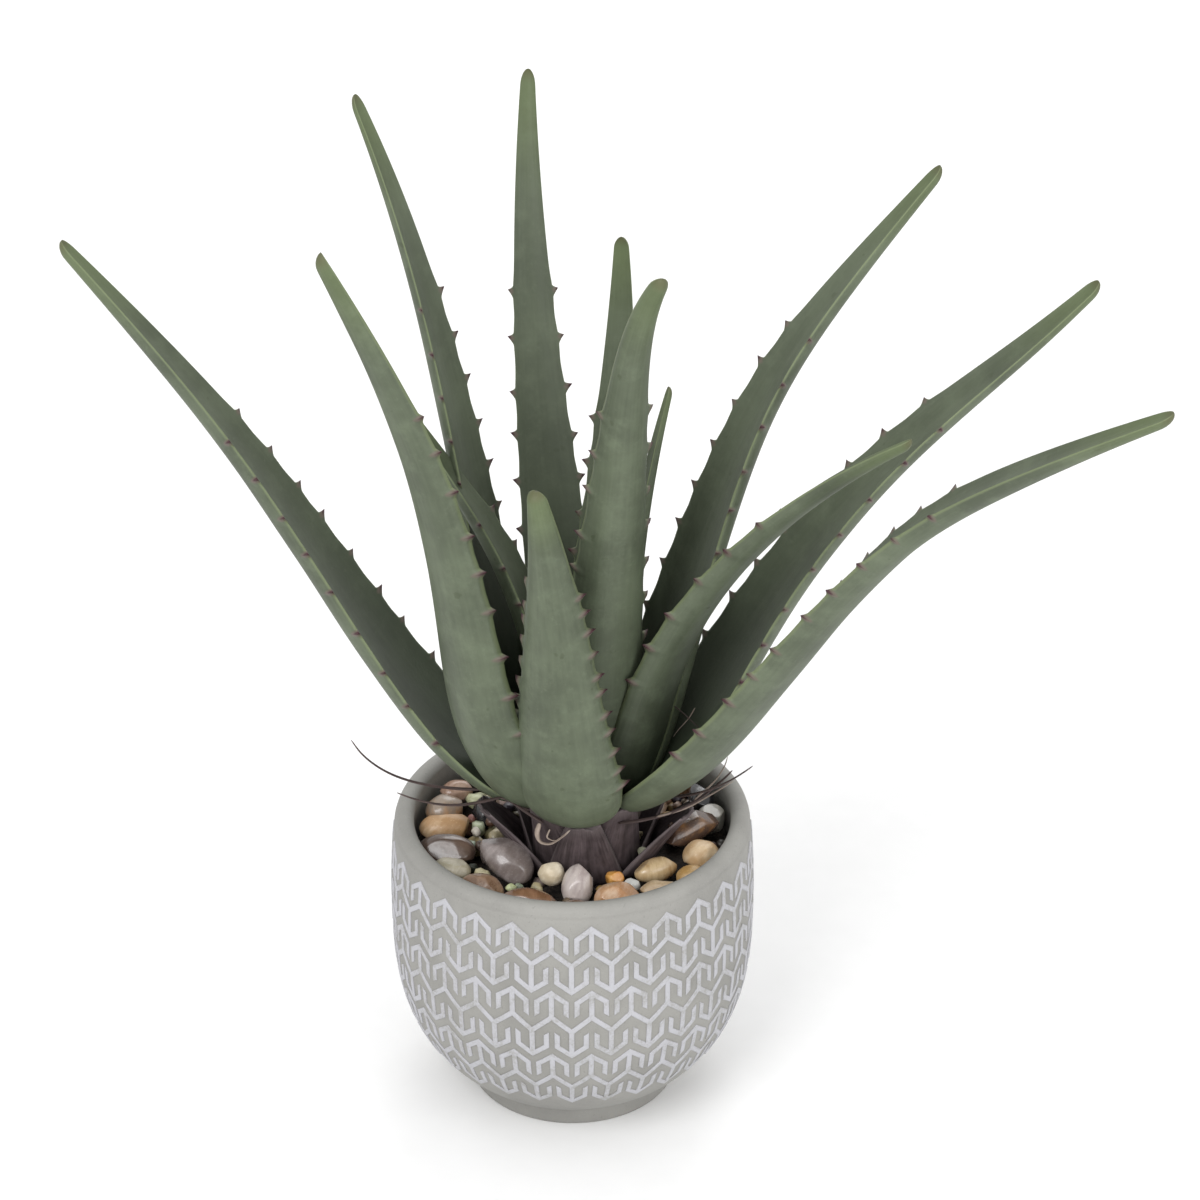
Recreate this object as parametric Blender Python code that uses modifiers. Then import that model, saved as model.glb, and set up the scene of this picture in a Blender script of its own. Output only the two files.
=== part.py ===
"""Potted aloe: a rosette of toothed leaves on a short stem, in a round pot topped with pebbles.

Metres, +Z up. The origin is the middle of the pot's foot. The front of the plant faces -Y.
Nothing moves: the plant is rooted in the soil, and the stones rest on it.
"""
import math

import bmesh
import bpy
from mathutils import Euler, Matrix, Vector, noise

# ---- pot
POT_HEIGHT = 0.126
POT_RADIUS = 0.0729          # at the belly
LIP_RADIUS = 0.0710
FOOT_RADIUS = 0.0425
FOOT_HEIGHT = 0.009
POT_WALL = 0.0075
POT_FLOOR = 0.010
BELLY_HEIGHT = 0.090
BOWL_FULLNESS = 3.3          # how soon the wall swells above the foot
BOWL_SPRING = 0.85
LIP_DRAW = 1.6               # how late the wall draws in to the lip
FOOT_STEP = 0.0015           # from the foot out to the bowl
FOOT_CHAMFER = 0.001
FLOOR_CORNER = 0.008         # of the hollow, where its wall meets its floor

# ---- planting
CLEARANCE = 0.0003           # between any two neighbouring pieces
SOIL_BELOW_LIP = 0.0190
STEM_RADIUS = 0.015
STEM_CROWN_RADIUS = 0.0225   # where the leaves join it
STEM_ABOVE_SOIL = 0.024
STEM_IN_SOIL = 0.030
STEM_DOME = 0.019
STEM_TIP_RADIUS = 0.007
STEM_SHOULDERS = ((0.66, 0.62), (0.92, 0.25))    # shares of the crown's radius and of the dome's height
STEM_FLARE_AT = 0.3          # of the height above the soil
STEM_HEEL = ((0.85, 0.006), (0.6, 0.0))    # shares of the neck's radius, and heights above the foot

# ---- leaves
LEAF_LENGTH = 1.0            # stretches every leaf's own length
LEAF_WIDTH = 1.0             # and every leaf's own width
LEAF_THICKNESS = 0.32        # of the width, near the base
TIP_THICKNESS = 0.60         # of the width, at the tip
TIP_WIDTH = 0.17             # of the full width
TOOTH_HEIGHT = 0.0034
TOOTH_HALF_BASE = 0.0021
TOOTH_HOOK = 0.0012          # how far each point leans towards the tip
LAST_TOOTH = 0.72            # of the length
ROSETTE_X = 0.006            # the rosette stands a little off the pot's axis
ROSETTE_Y = -0.004

# ---- stones
STONE_SIZE = 1.0             # enlarges every stone
STONE_ROUGHNESS = 0.10       # bumps, as a share of a stone's half size
SQUARE_FILL = 0.18           # how far a square stone's corners are filled out
SQUARE_REACH = 0.12          # and what they add to its half size
BUMP_SCALE = 1.3
BUMP_STEP = 7.1              # between one stone's bumps and the next one's
SCALE_SPREAD = 0.0130        # how far the dried scales stand out from the stem among the stones

# One row a leaf, in the order they take their room: bearing round the rosette, how far the leaf leans
# from upright at five places along it, length, width, how far the bearing swings by the tip, twist at
# the root and the tip (degrees), where it is seated (distance from the rosette's axis, height above the
# stem's crown, and degrees round the axis from the leaf's own bearing), and its teeth (distance of the
# first from the root, spacing).
LEAVES = {
    "leaf_front": (
        251, (19, 12, 7, 14, 20), 0.169, 0.042, -6, (3, -5), (0.022, 0.009, 7), (0.022, 0.0095)),
    "leaf_centre": (
        294, (8, 9, 11, 13, 41), 0.261, 0.036, 2, (2, -22), (0.004, 0.010, -2), (0.075, 0.0185)),
    "leaf_back_short": (
        74, (11, 14, 16, 9, -2), 0.222, 0.031, -1, (1, 1), (0.005, 0.010, 2), (0.090, 0.0185)),
    "leaf_right_short": (
        14, (4, 2, 5, 11, 15), 0.174, 0.020, -1, (0, -2), (0.012, 0.010, 6), (0.080, 0.0170)),
    "leaf_left_inner": (
        169, (1, 8, 21, 33, 33), 0.172, 0.030, 1, (-1, 0), (0.010, 0.010, -1), (0.070, 0.0170)),
    "leaf_back": (
        107, (17, 23, 27, 27, 26), 0.281, 0.031, -20, (-1, 1), (0.010, 0.008, 1), (0.100, 0.0185)),
    "leaf_right_inner": (
        -22, (11, 17, 33, 46, 58), 0.222, 0.032, -1, (-20, -9), (0.013, 0.009, 6), (0.060, 0.0180)),
    "leaf_right_back": (
        25, (17, 18, 23, 41, 45), 0.283, 0.036, -6, (8, -8), (0.015, 0.007, 3), (0.070, 0.0185)),
    "leaf_back_left": (
        155, (24, 12, 12, 17, 25), 0.294, 0.030, 2, (2, -3), (0.014, 0.007, -1), (0.080, 0.0185)),
    "leaf_front_left": (
        214, (34, 10, 13, 23, 28), 0.275, 0.042, -4, (6, -9), (0.021, 0.009, -18), (0.050, 0.0185)),
    "leaf_right_low": (
        -35, (46, 34, 36, 53, 59), 0.326, 0.037, 7, (-6, 10), (0.017, 0.009, 5), (0.055, 0.0185)),
    "leaf_right": (
        11, (38, 30, 40, 51, 47), 0.277, 0.037, -3, (12, 5), (0.018, 0.007, -3), (0.065, 0.0185)),
    "leaf_left": (
        172, (54, 34, 32, 38, 41), 0.291, 0.037, 4, (-7, 2), (0.022, 0.007, 4), (0.045, 0.0185)),
}

# Dried leaf bases that wrap the stem under the leaves, inner ring first: the same columns as a leaf,
# with the seat's height above the soil.
SCALES = {
    "scale_front": (302, (16, 18, 20, 22, 24), 0.040, 0.031, 0, (0, 0), (0.0125, 0.0, 0), None),
    "scale_front_left": (232, (16, 20, 24, 28, 30), 0.040, 0.031, 0, (0, 0), (0.0125, 0.0, 0), None),
    "scale_right": (22, (26, 32, 36, 40, 42), 0.038, 0.033, 0, (0, 0), (0.0125, 0.0, 0), None),
    "scale_back_left": (146, (26, 32, 36, 40, 42), 0.038, 0.034, 0, (0, 0), (0.0125, 0.0, 0), None),
    "scale_front_middle": (267, (18, 20, 20, 22, 24), 0.036, 0.030, 0, (0, 0), (0.0165, -0.0005, 0), None),
    "scale_front_right": (342, (30, 36, 40, 44, 46), 0.040, 0.032, 0, (0, 0), (0.0165, -0.0005, 0), None),
    "scale_left": (193, (30, 36, 40, 44, 46), 0.040, 0.032, 0, (0, 0), (0.0165, -0.0005, 0), None),
    "scale_back": (84, (28, 34, 38, 42, 44), 0.038, 0.036, 0, (0, 0), (0.0165, -0.0005, 0), None),
}

# Dried fibres that curl out from the base, in the same columns as a leaf.
STRANDS = {
    "strand_left_upper": (190, (84, 77, 67, 49, 26), 0.062, 0.0017, -12, (0, 0), (0.041, 0.0110, 0), None),
    "strand_left_lower": (205, (90, 86, 74, 64, 58), 0.046, 0.0017, -14, (0, 0), (0.037, 0.0130, 0), None),
    "strand_right": (335, (72, 62, 55, 48, 44), 0.040, 0.0017, 8, (0, 0), (0.038, 0.0135, 0), None),
}

# One row a stone: bearing from the pot's middle, how far out between stem and wall (0 to 1), length,
# width, height, which way its length points, how far it tips up, how far it is lifted off the soil,
# and whether its ends are square rather than round.
STONES = {
    "stone_taupe": (208, 0.30, 0.028, 0.018, 0.014, -35, -20, 0.002, 0.0),
    "stone_tan_block": (167, 0.76, 0.021, 0.014, 0.012, 5, 0, 0.001, 0.5),
    "stone_grey_tan": (155, 1.00, 0.018, 0.014, 0.012, 30, 0, 0.001, 0.2),
    "stone_dark_brown": (189, 0.56, 0.024, 0.017, 0.014, 165, 0, 0.000, 0.1),
    "stone_olive": (215, 0.63, 0.016, 0.012, 0.010, 170, 0, 0.003, 0.1),
    "stone_umber": (232, 0.39, 0.020, 0.015, 0.012, 160, 0, 0.002, 0.1),
    "stone_cream": (247, 0.16, 0.011, 0.010, 0.010, 0, 0, 0.005, 0.0),
    "stone_chestnut": (260, 0.31, 0.024, 0.015, 0.013, 175, 0, 0.001, 0.1),
    "stone_mauve_point": (279, 0.10, 0.019, 0.014, 0.011, 70, 40, 0.003, 0.0),
    "stone_russet": (283, 0.45, 0.015, 0.011, 0.011, 0, 0, 0.001, 0.1),
    "stone_amber": (306, 0.17, 0.020, 0.015, 0.014, 0, 0, 0.002, 0.5),
    "stone_orange": (309, 0.41, 0.008, 0.007, 0.007, 0, 0, 0.004, 0.0),
    "stone_white": (314, 0.50, 0.007, 0.006, 0.006, 0, 0, 0.004, 0.0),
    "stone_sand": (306, 0.58, 0.020, 0.011, 0.010, 10, 0, 0.002, 0.1),
    "stone_long_brown": (358, 0.25, 0.031, 0.013, 0.012, 35, 12, 0.006, 0.0),
    "stone_golden": (338, 0.27, 0.020, 0.011, 0.010, 25, 0, 0.002, 0.1),
    "stone_rough_tan": (342, 0.66, 0.015, 0.014, 0.013, 0, 0, 0.002, 0.4),
    "stone_honey": (329, 0.54, 0.012, 0.011, 0.011, 40, 0, 0.001, 0.3),
    "stone_smooth_grey": (356, 0.79, 0.014, 0.012, 0.012, 60, 0, 0.001, 0.0),
    "stone_black": (16, 0.89, 0.016, 0.012, 0.013, 100, 0, 0.001, 0.0),
    "stone_slate": (160, 0.41, 0.015, 0.012, 0.012, 90, 0, 0.000, 0.1),
    "stone_back_tan": (143, 0.90, 0.015, 0.011, 0.010, 20, 0, 0.001, 0.1),
    "stone_rust": (33, 0.94, 0.015, 0.012, 0.011, 120, 0, 0.001, 0.2),
    "stone_back_grey": (122, 0.76, 0.024, 0.016, 0.013, 30, 0, 0.000, 0.0),
    "stone_back_brown": (98, 0.78, 0.022, 0.015, 0.013, 0, 0, 0.000, 0.1),
    "stone_back_cream": (76, 0.78, 0.020, 0.015, 0.012, -20, 0, 0.000, 0.1),
    "stone_back_umber": (53, 0.78, 0.024, 0.016, 0.013, 130, 0, 0.000, 0.1),
    "stone_back_slate": (60, 0.04, 0.018, 0.013, 0.011, 150, 0, 0.000, 0.1),
    "stone_back_amber": (108, 0.04, 0.017, 0.012, 0.011, 20, 0, 0.000, 0.2),
    "stone_back_rose": (133, 0.22, 0.016, 0.012, 0.011, 60, 0, 0.000, 0.0),
    "stone_right_umber": (33, 0.22, 0.017, 0.012, 0.011, 110, 0, 0.000, 0.1),
    "stone_back_olive": (84, 0.16, 0.014, 0.010, 0.010, 0, 0, 0.000, 0.0),
}


# ---------------------------------------------------------------- helpers

def material(name, colour, roughness, metallic=0.0):
    """A Principled material in one plain finish."""
    mat = bpy.data.materials.new(name)
    mat.use_nodes = True
    shader = mat.node_tree.nodes["Principled BSDF"]
    shader.inputs["Base Color"].default_value = (*colour, 1.0)
    shader.inputs["Roughness"].default_value = roughness
    shader.inputs["Metallic"].default_value = metallic
    mat.diffuse_color = (*colour, 1.0)
    return mat


def mesh_object(name, bm, home, mat=None):
    """Turn a bmesh into a named object in one collection."""
    bmesh.ops.recalc_face_normals(bm, faces=bm.faces)
    mesh = bpy.data.meshes.new(name)
    bm.to_mesh(mesh)
    bm.free()
    obj = bpy.data.objects.new(name, mesh)
    home.objects.link(obj)
    if mat:
        mesh.materials.append(mat)
    return obj


def loft(rings):
    """Skin equal rings of points with triangles that all lean the same way, and cap both ends."""
    bm = bmesh.new()
    loops = [[bm.verts.new(p) for p in ring] for ring in rings]
    count = len(loops[0])
    for low, high in zip(loops, loops[1:]):
        for i in range(count):
            j = (i + 1) % count
            bm.faces.new((low[i], low[j], high[j]))
            bm.faces.new((low[i], high[j], high[i]))
    ends = [bm.faces.new(loops[0]), bm.faces.new(loops[-1])]
    bmesh.ops.triangulate(bm, faces=ends)
    return bm


def cut(obj, cutter):
    """Take a cutter out of an object."""
    mod = obj.modifiers.new("clear " + cutter.name, "BOOLEAN")
    mod.operation = "DIFFERENCE"
    mod.object = cutter


def along(values, t):
    """A smooth curve through evenly spaced values, read at t from 0 to 1."""
    last = len(values) - 1
    x = min(max(t, 0.0), 1.0) * last
    i = min(int(x), last - 1)
    f = x - i
    ext = (2 * values[0] - values[1], *values, 2 * values[-1] - values[-2])
    a, b, c, d = ext[i:i + 4]
    cubic = (2 * a - 5 * b + 4 * c - d) * f * f + (3 * b - a - 3 * c + d) * f ** 3
    return 0.5 * (2 * b + (c - a) * f + cubic)


def link(name, hidden=False):
    """A collection in the scene."""
    home = bpy.data.collections.new(name)
    bpy.context.scene.collection.children.link(home)
    home.hide_render = hidden
    return home


def boxes_touch(a, b):
    """Whether the bounding boxes of two lofts' rings meet."""
    for axis in range(3):
        a_values = [p[axis] for ring in a for p in ring]
        b_values = [p[axis] for ring in b for p in ring]
        if max(a_values) < min(b_values) or max(b_values) < min(a_values):
            return False
    return True


# ---------------------------------------------------------------- leaves

# Across the leaf and towards the rosette's middle, as shares of half the width and of the thickness:
# one margin, the rounded outer face, the other margin, the hollow inner face.
LEAF_SECTION = (
    (1, 0), (0.62, -0.75), (0, -1), (-0.62, -0.75), (-1, 0), (-0.5, -0.22), (0, -0.30), (0.5, -0.22))
ROOT_STATIONS = ((0.0, 0.42), (0.008, 0.64), (0.022, 0.78), (0.050, 0.90), (0.090, 0.97))
FULL_WIDTH_AT = 0.14
LEAF_BENDS = 8
TIP_STATIONS = (0.975, 0.990, 0.997, 1.0)
PLAIN_STATIONS = ((0.0, 0.06), (0.975, 1.0))
EDGE_ROOM = 2.5              # clearances kept beyond a blade's thin edges and ends


class Blade:
    """One tapering blade: its path, how wide and thick it is along it, and where its teeth stand."""

    def __init__(self, base, bearing, leans, length, width, swing=0, twist=(0, 0), seat=(0.01, 0.01, 0),
                 teeth=None, section=LEAF_SECTION, thickness=LEAF_THICKNESS, tip_thickness=TIP_THICKNESS,
                 tip_width=TIP_WIDTH, bends=LEAF_BENDS, flat_until=0.03, root_width=0.0, plain=False):
        self.base = base
        self.bearing = bearing
        self.leans = leans
        self.length = length
        self.width = width
        self.swing = swing
        self.twist = twist
        self.seat = seat
        self.section = section
        inner_x, inner_y = section[-1]
        self.slope = max(0.0, -inner_y / (1 - inner_x))      # how the inner face rises to the margin
        self.bends = bends
        self.flat_until = flat_until
        self.root_width = root_width
        self.plain = plain
        self.thickness = thickness
        self.tip_thickness = tip_thickness
        self.tip_width = tip_width
        self.teeth = self.tooth_places(*teeth) if teeth else []

    def tooth_places(self, first, spacing):
        """Where the teeth stand, as shares of the length."""
        count = int((self.length * LAST_TOOTH - first) / spacing) + 1
        return [(first + i * spacing) / self.length for i in range(count)]

    def stations(self):
        """The places along the blade that get a ring, root to tip, with three for each tooth."""
        ends = PLAIN_STATIONS if self.plain else ([t for t, _ in ROOT_STATIONS], TIP_STATIONS)
        bends = [FULL_WIDTH_AT + (0.94 - FULL_WIDTH_AT) * i / self.bends for i in range(self.bends + 1)]
        base = TOOTH_HALF_BASE / self.length
        near_teeth = [t + side * base for t in self.teeth for side in (-1, 0, 1)]
        places = [t for t in (*ends[0], *bends) if all(abs(t - n) > 1.5 * base for n in near_teeth)]
        return sorted(places + near_teeth + list(ends[1]))

    def width_at(self, t):
        """Full width: a rounded root, then an even taper to a blunt tip."""
        if t < ROOT_STATIONS[-1][0]:
            low, high = next(pair for pair in zip(ROOT_STATIONS, ROOT_STATIONS[1:]) if pair[1][0] > t)
            share = low[1] + (high[1] - low[1]) * (t - low[0]) / (high[0] - low[0])
        elif t < FULL_WIDTH_AT:
            share = 1.0
        else:
            share = 1 - (1 - self.tip_width) * ((t - FULL_WIDTH_AT) / (1 - FULL_WIDTH_AT)) ** 1.05
        share = max(share, self.root_width) if t < FULL_WIDTH_AT else share
        nose = min((1 - t) / 0.022 + 0.02, 1.0)
        return self.width * share * math.sqrt(1 - (1 - nose) ** 2)

    def frames(self):
        """For each station: the point on the path, and the directions along, across and inwards."""
        places = self.stations()
        radius, height, aside = self.seat
        turn = math.radians(self.bearing + aside)
        point = Vector((ROSETTE_X, ROSETTE_Y, self.base + height))
        point += Vector((math.cos(turn), math.sin(turn), 0)) * radius
        steps = 4
        frames = []
        before = places[0]
        for t in places:
            for k in range(steps):
                point = point + self.direction(before + (t - before) * (k + 0.5) / steps)[0] * (
                    self.length * (t - before) / steps)
            before = t
            ahead, across = self.direction(t)
            inward = ahead.cross(across)
            angle = math.radians(self.twist[0] + (self.twist[1] - self.twist[0]) * t)
            side = across * math.cos(angle) + inward * math.sin(angle)
            up = inward * math.cos(angle) - across * math.sin(angle)
            frames.append((t, point.copy(), ahead, side, up))
        return frames

    def direction(self, t):
        """The way the blade runs at t, and the level direction across it."""
        lean = math.radians(along(self.leans, t))
        turn = math.radians(self.bearing + self.swing * t * t)
        ahead = Vector((math.sin(lean) * math.cos(turn), math.sin(lean) * math.sin(turn), math.cos(lean)))
        return ahead, Vector((-math.sin(turn), math.cos(turn), 0))

    def rings(self):
        """The section at each station, with the margins drawn out into points at the teeth."""
        rings = []
        for t, point, ahead, side, up in self.frames():
            half, thick = self.size_at(t)
            tooth = any(abs(t - place) < 1e-6 for place in self.teeth)
            ring = []
            for x, y in self.section_at(t):
                spot = point + side * half * x + up * thick * y
                if tooth and abs(x) == 1:
                    out = TOOTH_HEIGHT * self.tooth_share(t)
                    spot += side * x * out + up * self.slope * thick * out / half + ahead * TOOTH_HOOK
                ring.append(spot)
            rings.append(ring)
        return rings

    def room(self, grow):
        """The space the blade needs: grown all round by a clearance, and by its teeth where it has them."""
        rings = []
        frames = self.frames()
        other_margin = len(self.section) // 2
        for t, point, ahead, side, up in frames:
            half, thick = self.size_at(t)
            extra = grow * EDGE_ROOM
            if self.teeth and self.teeth[0] - 0.06 < t < self.teeth[-1] + 0.06:
                extra += TOOTH_HEIGHT * self.tooth_share(t)
            end = (t == frames[-1][0]) - max(0.0, 1 - t / ROOT_STATIONS[3][0])
            point = point + ahead * end * grow * EDGE_ROOM
            ring = []
            for i, (x, y) in enumerate(self.section_at(t)):
                if i % other_margin == 0:
                    spread, depth = extra, self.slope * thick * extra / half + grow
                elif i < other_margin:
                    spread, depth = grow, -grow
                else:
                    spread, depth = 0.0, grow
                spread = half * x + math.copysign(spread, x) * (x != 0)
                ring.append(point + side * spread + up * (thick * y + depth))
            rings.append(ring)
        return rings

    def section_at(self, t):
        """The section, whose inner face is flat where the root flares and hollow above it."""
        hollow = min(max((t - self.flat_until) / 0.10, 0.0), 1.0)
        first_inner = len(self.section) // 2 + 1
        return [(x, y * hollow if i >= first_inner else y) for i, (x, y) in enumerate(self.section)]

    def size_at(self, t):
        """Half the width, and the depth of the section."""
        half = self.width_at(t) / 2
        return half, 2 * half * (self.thickness + (self.tip_thickness - self.thickness) * t ** 1.5)

    def tooth_share(self, t):
        """Teeth shrink towards the tip, and on narrow leaves."""
        return (1 - 0.35 * t) * min(1.0, self.width / 0.028)


def build_blades(table, base, home, cutters, mat, made, **style):
    """Build the blades of one table above a base height, each cleared of every blade made before it."""
    for name, (bearing, leans, length, width, *shape) in table.items():
        blade = Blade(base, bearing, leans, length * LEAF_LENGTH, width * LEAF_WIDTH, *shape, **style)
        obj = mesh_object(name, loft(blade.rings()), home, mat)
        rings = blade.room(CLEARANCE)
        for other, other_rings, cutter in made:
            if other_rings is None or boxes_touch(rings, other_rings):
                cut(obj, cutter)
        cutter = mesh_object(name + "_room", loft(rings), cutters)
        cutter.display_type = "WIRE"
        cutter.hide_render = True
        made.append((obj, rings, cutter))


# ---------------------------------------------------------------- turned pieces

ROUND_STEPS = 36


def pot_radius(z):
    """The outer wall: a full bowl below the belly, drawn in slightly to the lip."""
    start = FOOT_RADIUS + FOOT_STEP
    if z < BELLY_HEIGHT:
        u = (z - FOOT_HEIGHT) / (BELLY_HEIGHT - FOOT_HEIGHT)
        return start + (POT_RADIUS - start) * (1 - (1 - u) ** BOWL_FULLNESS) ** BOWL_SPRING
    u = (z - BELLY_HEIGHT) / (POT_HEIGHT - BELLY_HEIGHT)
    return POT_RADIUS - (POT_RADIUS - LIP_RADIUS) * u ** LIP_DRAW


def wall_heights(low, high, count):
    """Heights up the wall, closer together near the foot."""
    return [low + (high - low) * (i / count) ** 1.5 for i in range(count + 1)]


def turned(name, profile, home, mat, steps=ROUND_STEPS):
    """Spin a profile of (radius, height) points, listed from the top down its outer side."""
    mesh = bpy.data.meshes.new(name)
    mesh.from_pydata([(r, 0, z) for r, z in profile], [(i, i + 1) for i in range(len(profile) - 1)], [])
    if mat:
        mesh.materials.append(mat)
    obj = bpy.data.objects.new(name, mesh)
    home.objects.link(obj)
    screw = obj.modifiers.new("spin", "SCREW")
    screw.steps = steps
    screw.render_steps = steps
    screw.use_merge_vertices = True
    screw.merge_threshold = 0.00001
    screw.use_smooth_shade = True
    return obj


def arc(centre, radius, start, end, count):
    """Points along an arc in the profile's plane, angles in degrees."""
    angles = [math.radians(start + (end - start) * i / count) for i in range(count + 1)]
    return [(centre[0] + radius * math.cos(a), centre[1] + radius * math.sin(a)) for a in angles]


def inside_wall():
    """The pot's hollow, as (radius, height) from its floor corner up to where the lip's curve starts."""
    heights = wall_heights(POT_FLOOR + FLOOR_CORNER, POT_HEIGHT - POT_WALL / 2, 6)
    return [*((pot_radius(z) - POT_WALL, z) for z in heights[:-1]), (LIP_RADIUS - POT_WALL, heights[-1])]


def inside_radius(z):
    """How wide the hollow is at one height, along the straight runs of its wall."""
    wall = inside_wall()
    low, high = next(pair for pair in zip(wall, wall[1:]) if pair[1][1] > z)
    return low[0] + (high[0] - low[0]) * (z - low[1]) / (high[1] - low[1])


def build_pot(home):
    """The pot: floor, bowl wall, rounded lip and a plain foot."""
    inside = inside_wall()
    outside = [(pot_radius(z), z) for z in wall_heights(FOOT_HEIGHT, POT_HEIGHT - POT_WALL / 2, 9)]
    lip_middle = (LIP_RADIUS - POT_WALL / 2, POT_HEIGHT - POT_WALL / 2)
    profile = [(0, POT_FLOOR), (inside[0][0] - FLOOR_CORNER, POT_FLOOR), *inside[:-1]]
    profile += arc(lip_middle, POT_WALL / 2, 180, 0, 4)
    profile += reversed(outside[:-1])
    profile += [(FOOT_RADIUS, FOOT_HEIGHT - FOOT_CHAMFER / 2), (FOOT_RADIUS, FOOT_CHAMFER)]
    profile += [(FOOT_RADIUS - FOOT_CHAMFER, 0), (0, 0)]
    return turned("pot", profile, home, material("pot_cement", (0.40, 0.40, 0.37), 0.62))


def soil_top():
    return POT_HEIGHT - SOIL_BELOW_LIP


def crown_height():
    return soil_top() + STEM_ABOVE_SOIL


def build_soil(home, rooms):
    """The plug of soil, shaped to the inside of the pot, with holes for the stem and the dried scales."""
    top = soil_top()
    gap = CLEARANCE * 1.5
    side = [(r - gap, z) for r, z in inside_wall() if z < top] + [(inside_radius(top) - gap, top)]
    floor = POT_FLOOR + CLEARANCE
    profile = [(0, top), *reversed(side), (side[0][0] - FLOOR_CORNER, floor), (0, floor)]
    obj = turned("soil", profile, home, material("soil", (0.03, 0.024, 0.02), 0.95))
    for room in rooms:
        cut(obj, room)


def stem_profile(grow):
    """The short stem: rooted in the soil, domed where the leaves join it."""
    top = crown_height()
    foot = soil_top() - STEM_IN_SOIL
    crown = STEM_CROWN_RADIUS + grow
    neck = STEM_RADIUS + grow
    profile = [(0, top + STEM_DOME + grow), (STEM_TIP_RADIUS + grow, top + STEM_DOME * 0.9 + grow)]
    profile += [(crown * out, top + STEM_DOME * up) for out, up in STEM_SHOULDERS]
    profile += [(crown, top), (neck, soil_top() + STEM_ABOVE_SOIL * STEM_FLARE_AT), (neck, soil_top())]
    profile += [(neck * out, foot + up - (grow if up == 0 else 0)) for out, up in STEM_HEEL]
    profile.append((0, foot - grow))
    return profile


def build_stem(home, cutters, leaves):
    """The stem, with a socket for each leaf, and its own room in the soil and scales."""
    obj = turned("stem", stem_profile(0), home, material("stem", (0.20, 0.15, 0.11), 0.8), steps=24)
    room = turned("stem_room", stem_profile(CLEARANCE), cutters, None, steps=24)
    room.display_type = "WIRE"
    room.hide_render = True
    for piece in (obj, room):
        piece.location = (ROSETTE_X, ROSETTE_Y, 0)
    for _, _, cutter in leaves:
        cut(obj, cutter)
    return room


# ---------------------------------------------------------------- stones

class Stone:
    """One pebble: an ellipsoid placed in the ring between the stem and the wall."""

    def __init__(self, name, bearing, out, length, width, height, points, tips, lift, square):
        self.name = name
        self.half = Vector((length, width, height)) * STONE_SIZE / 2
        self.turn = Euler((0, -math.radians(tips), math.radians(points)), "XYZ").to_matrix()
        self.square = square
        inner = STEM_RADIUS + SCALE_SPREAD
        distance = inner + (room_inside(soil_top()) - inner) * out
        angle = math.radians(bearing)
        self.centre = Vector((distance * math.cos(angle), distance * math.sin(angle), 0))
        self.centre.z = soil_top() + CLEARANCE + self.reach(Vector((0, 0, 1))) + lift

    def reach(self, way):
        """How far the stone's surface stands out from its centre along one direction, bumps included."""
        local = self.turn.transposed() @ way
        plain = Vector((local.x * self.half.x, local.y * self.half.y, local.z * self.half.z)).length
        return plain * (1 + STONE_ROUGHNESS * 0.5 + SQUARE_REACH * self.square)


def room_inside(z):
    """How far out a stone may reach: the flats of the turned wall, less a clearance."""
    return inside_radius(min(z, POT_HEIGHT - POT_WALL)) * math.cos(math.pi / ROUND_STEPS) - CLEARANCE


def spread_stones(stones, rounds=400):
    """Move stones apart in plan until each has its clearance from the rest, the stem and the wall."""
    middle = Vector((ROSETTE_X, ROSETTE_Y, 0))
    for _ in range(rounds):
        for i, a in enumerate(stones):
            for b in stones[i + 1:]:
                apart = b.centre - a.centre
                way = apart.normalized()
                short = a.reach(way) + b.reach(way) + CLEARANCE - apart.length
                if short > 0:
                    level = Vector((apart.x, apart.y, 0)).normalized() * short * 0.3
                    a.centre -= level
                    b.centre += level
        for stone in stones:
            keep_in_ring(stone, middle)


def keep_in_ring(stone, middle):
    """Hold one stone off the wall and off the stem's scales."""
    out = Vector((stone.centre.x, stone.centre.y, 0))
    way = out.normalized()
    over = out.length + stone.reach(way) - room_inside(stone.centre.z + stone.half.z)
    if over > 0:
        stone.centre -= way * over
    from_stem = Vector((stone.centre.x, stone.centre.y, 0)) - middle
    way = from_stem.normalized()
    short = STEM_RADIUS + SCALE_SPREAD + stone.reach(way) - from_stem.length
    if short > 0:
        stone.centre += way * short


def build_stones(home, rooms):
    """All the pebbles, each its own object, cleared of the scales above them."""
    stones = [Stone(name, *row) for name, row in STONES.items()]
    spread_stones(stones)
    colours = stone_colours()
    for number, stone in enumerate(stones):
        bm = bmesh.new()
        bmesh.ops.create_uvsphere(bm, u_segments=8, v_segments=6, radius=1.0)
        for vert in bm.verts:
            p = vert.co.copy()
            bump = noise.noise(p * BUMP_SCALE + Vector((number * BUMP_STEP, 0, 0)))
            box = max(abs(p.x), abs(p.y), abs(p.z))
            p *= 1 + STONE_ROUGHNESS * (bump - 0.5) + SQUARE_FILL * stone.square * (1 / box - 1)
            vert.co = Vector((p.x * stone.half.x, p.y * stone.half.y, p.z * stone.half.z))
        obj = mesh_object(stone.name, bm, home, colours[stone.name.split("_", 1)[1]])
        obj.matrix_world = Matrix.Translation(stone.centre) @ stone.turn.to_4x4()
        for room in rooms:
            cut(obj, room)


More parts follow.
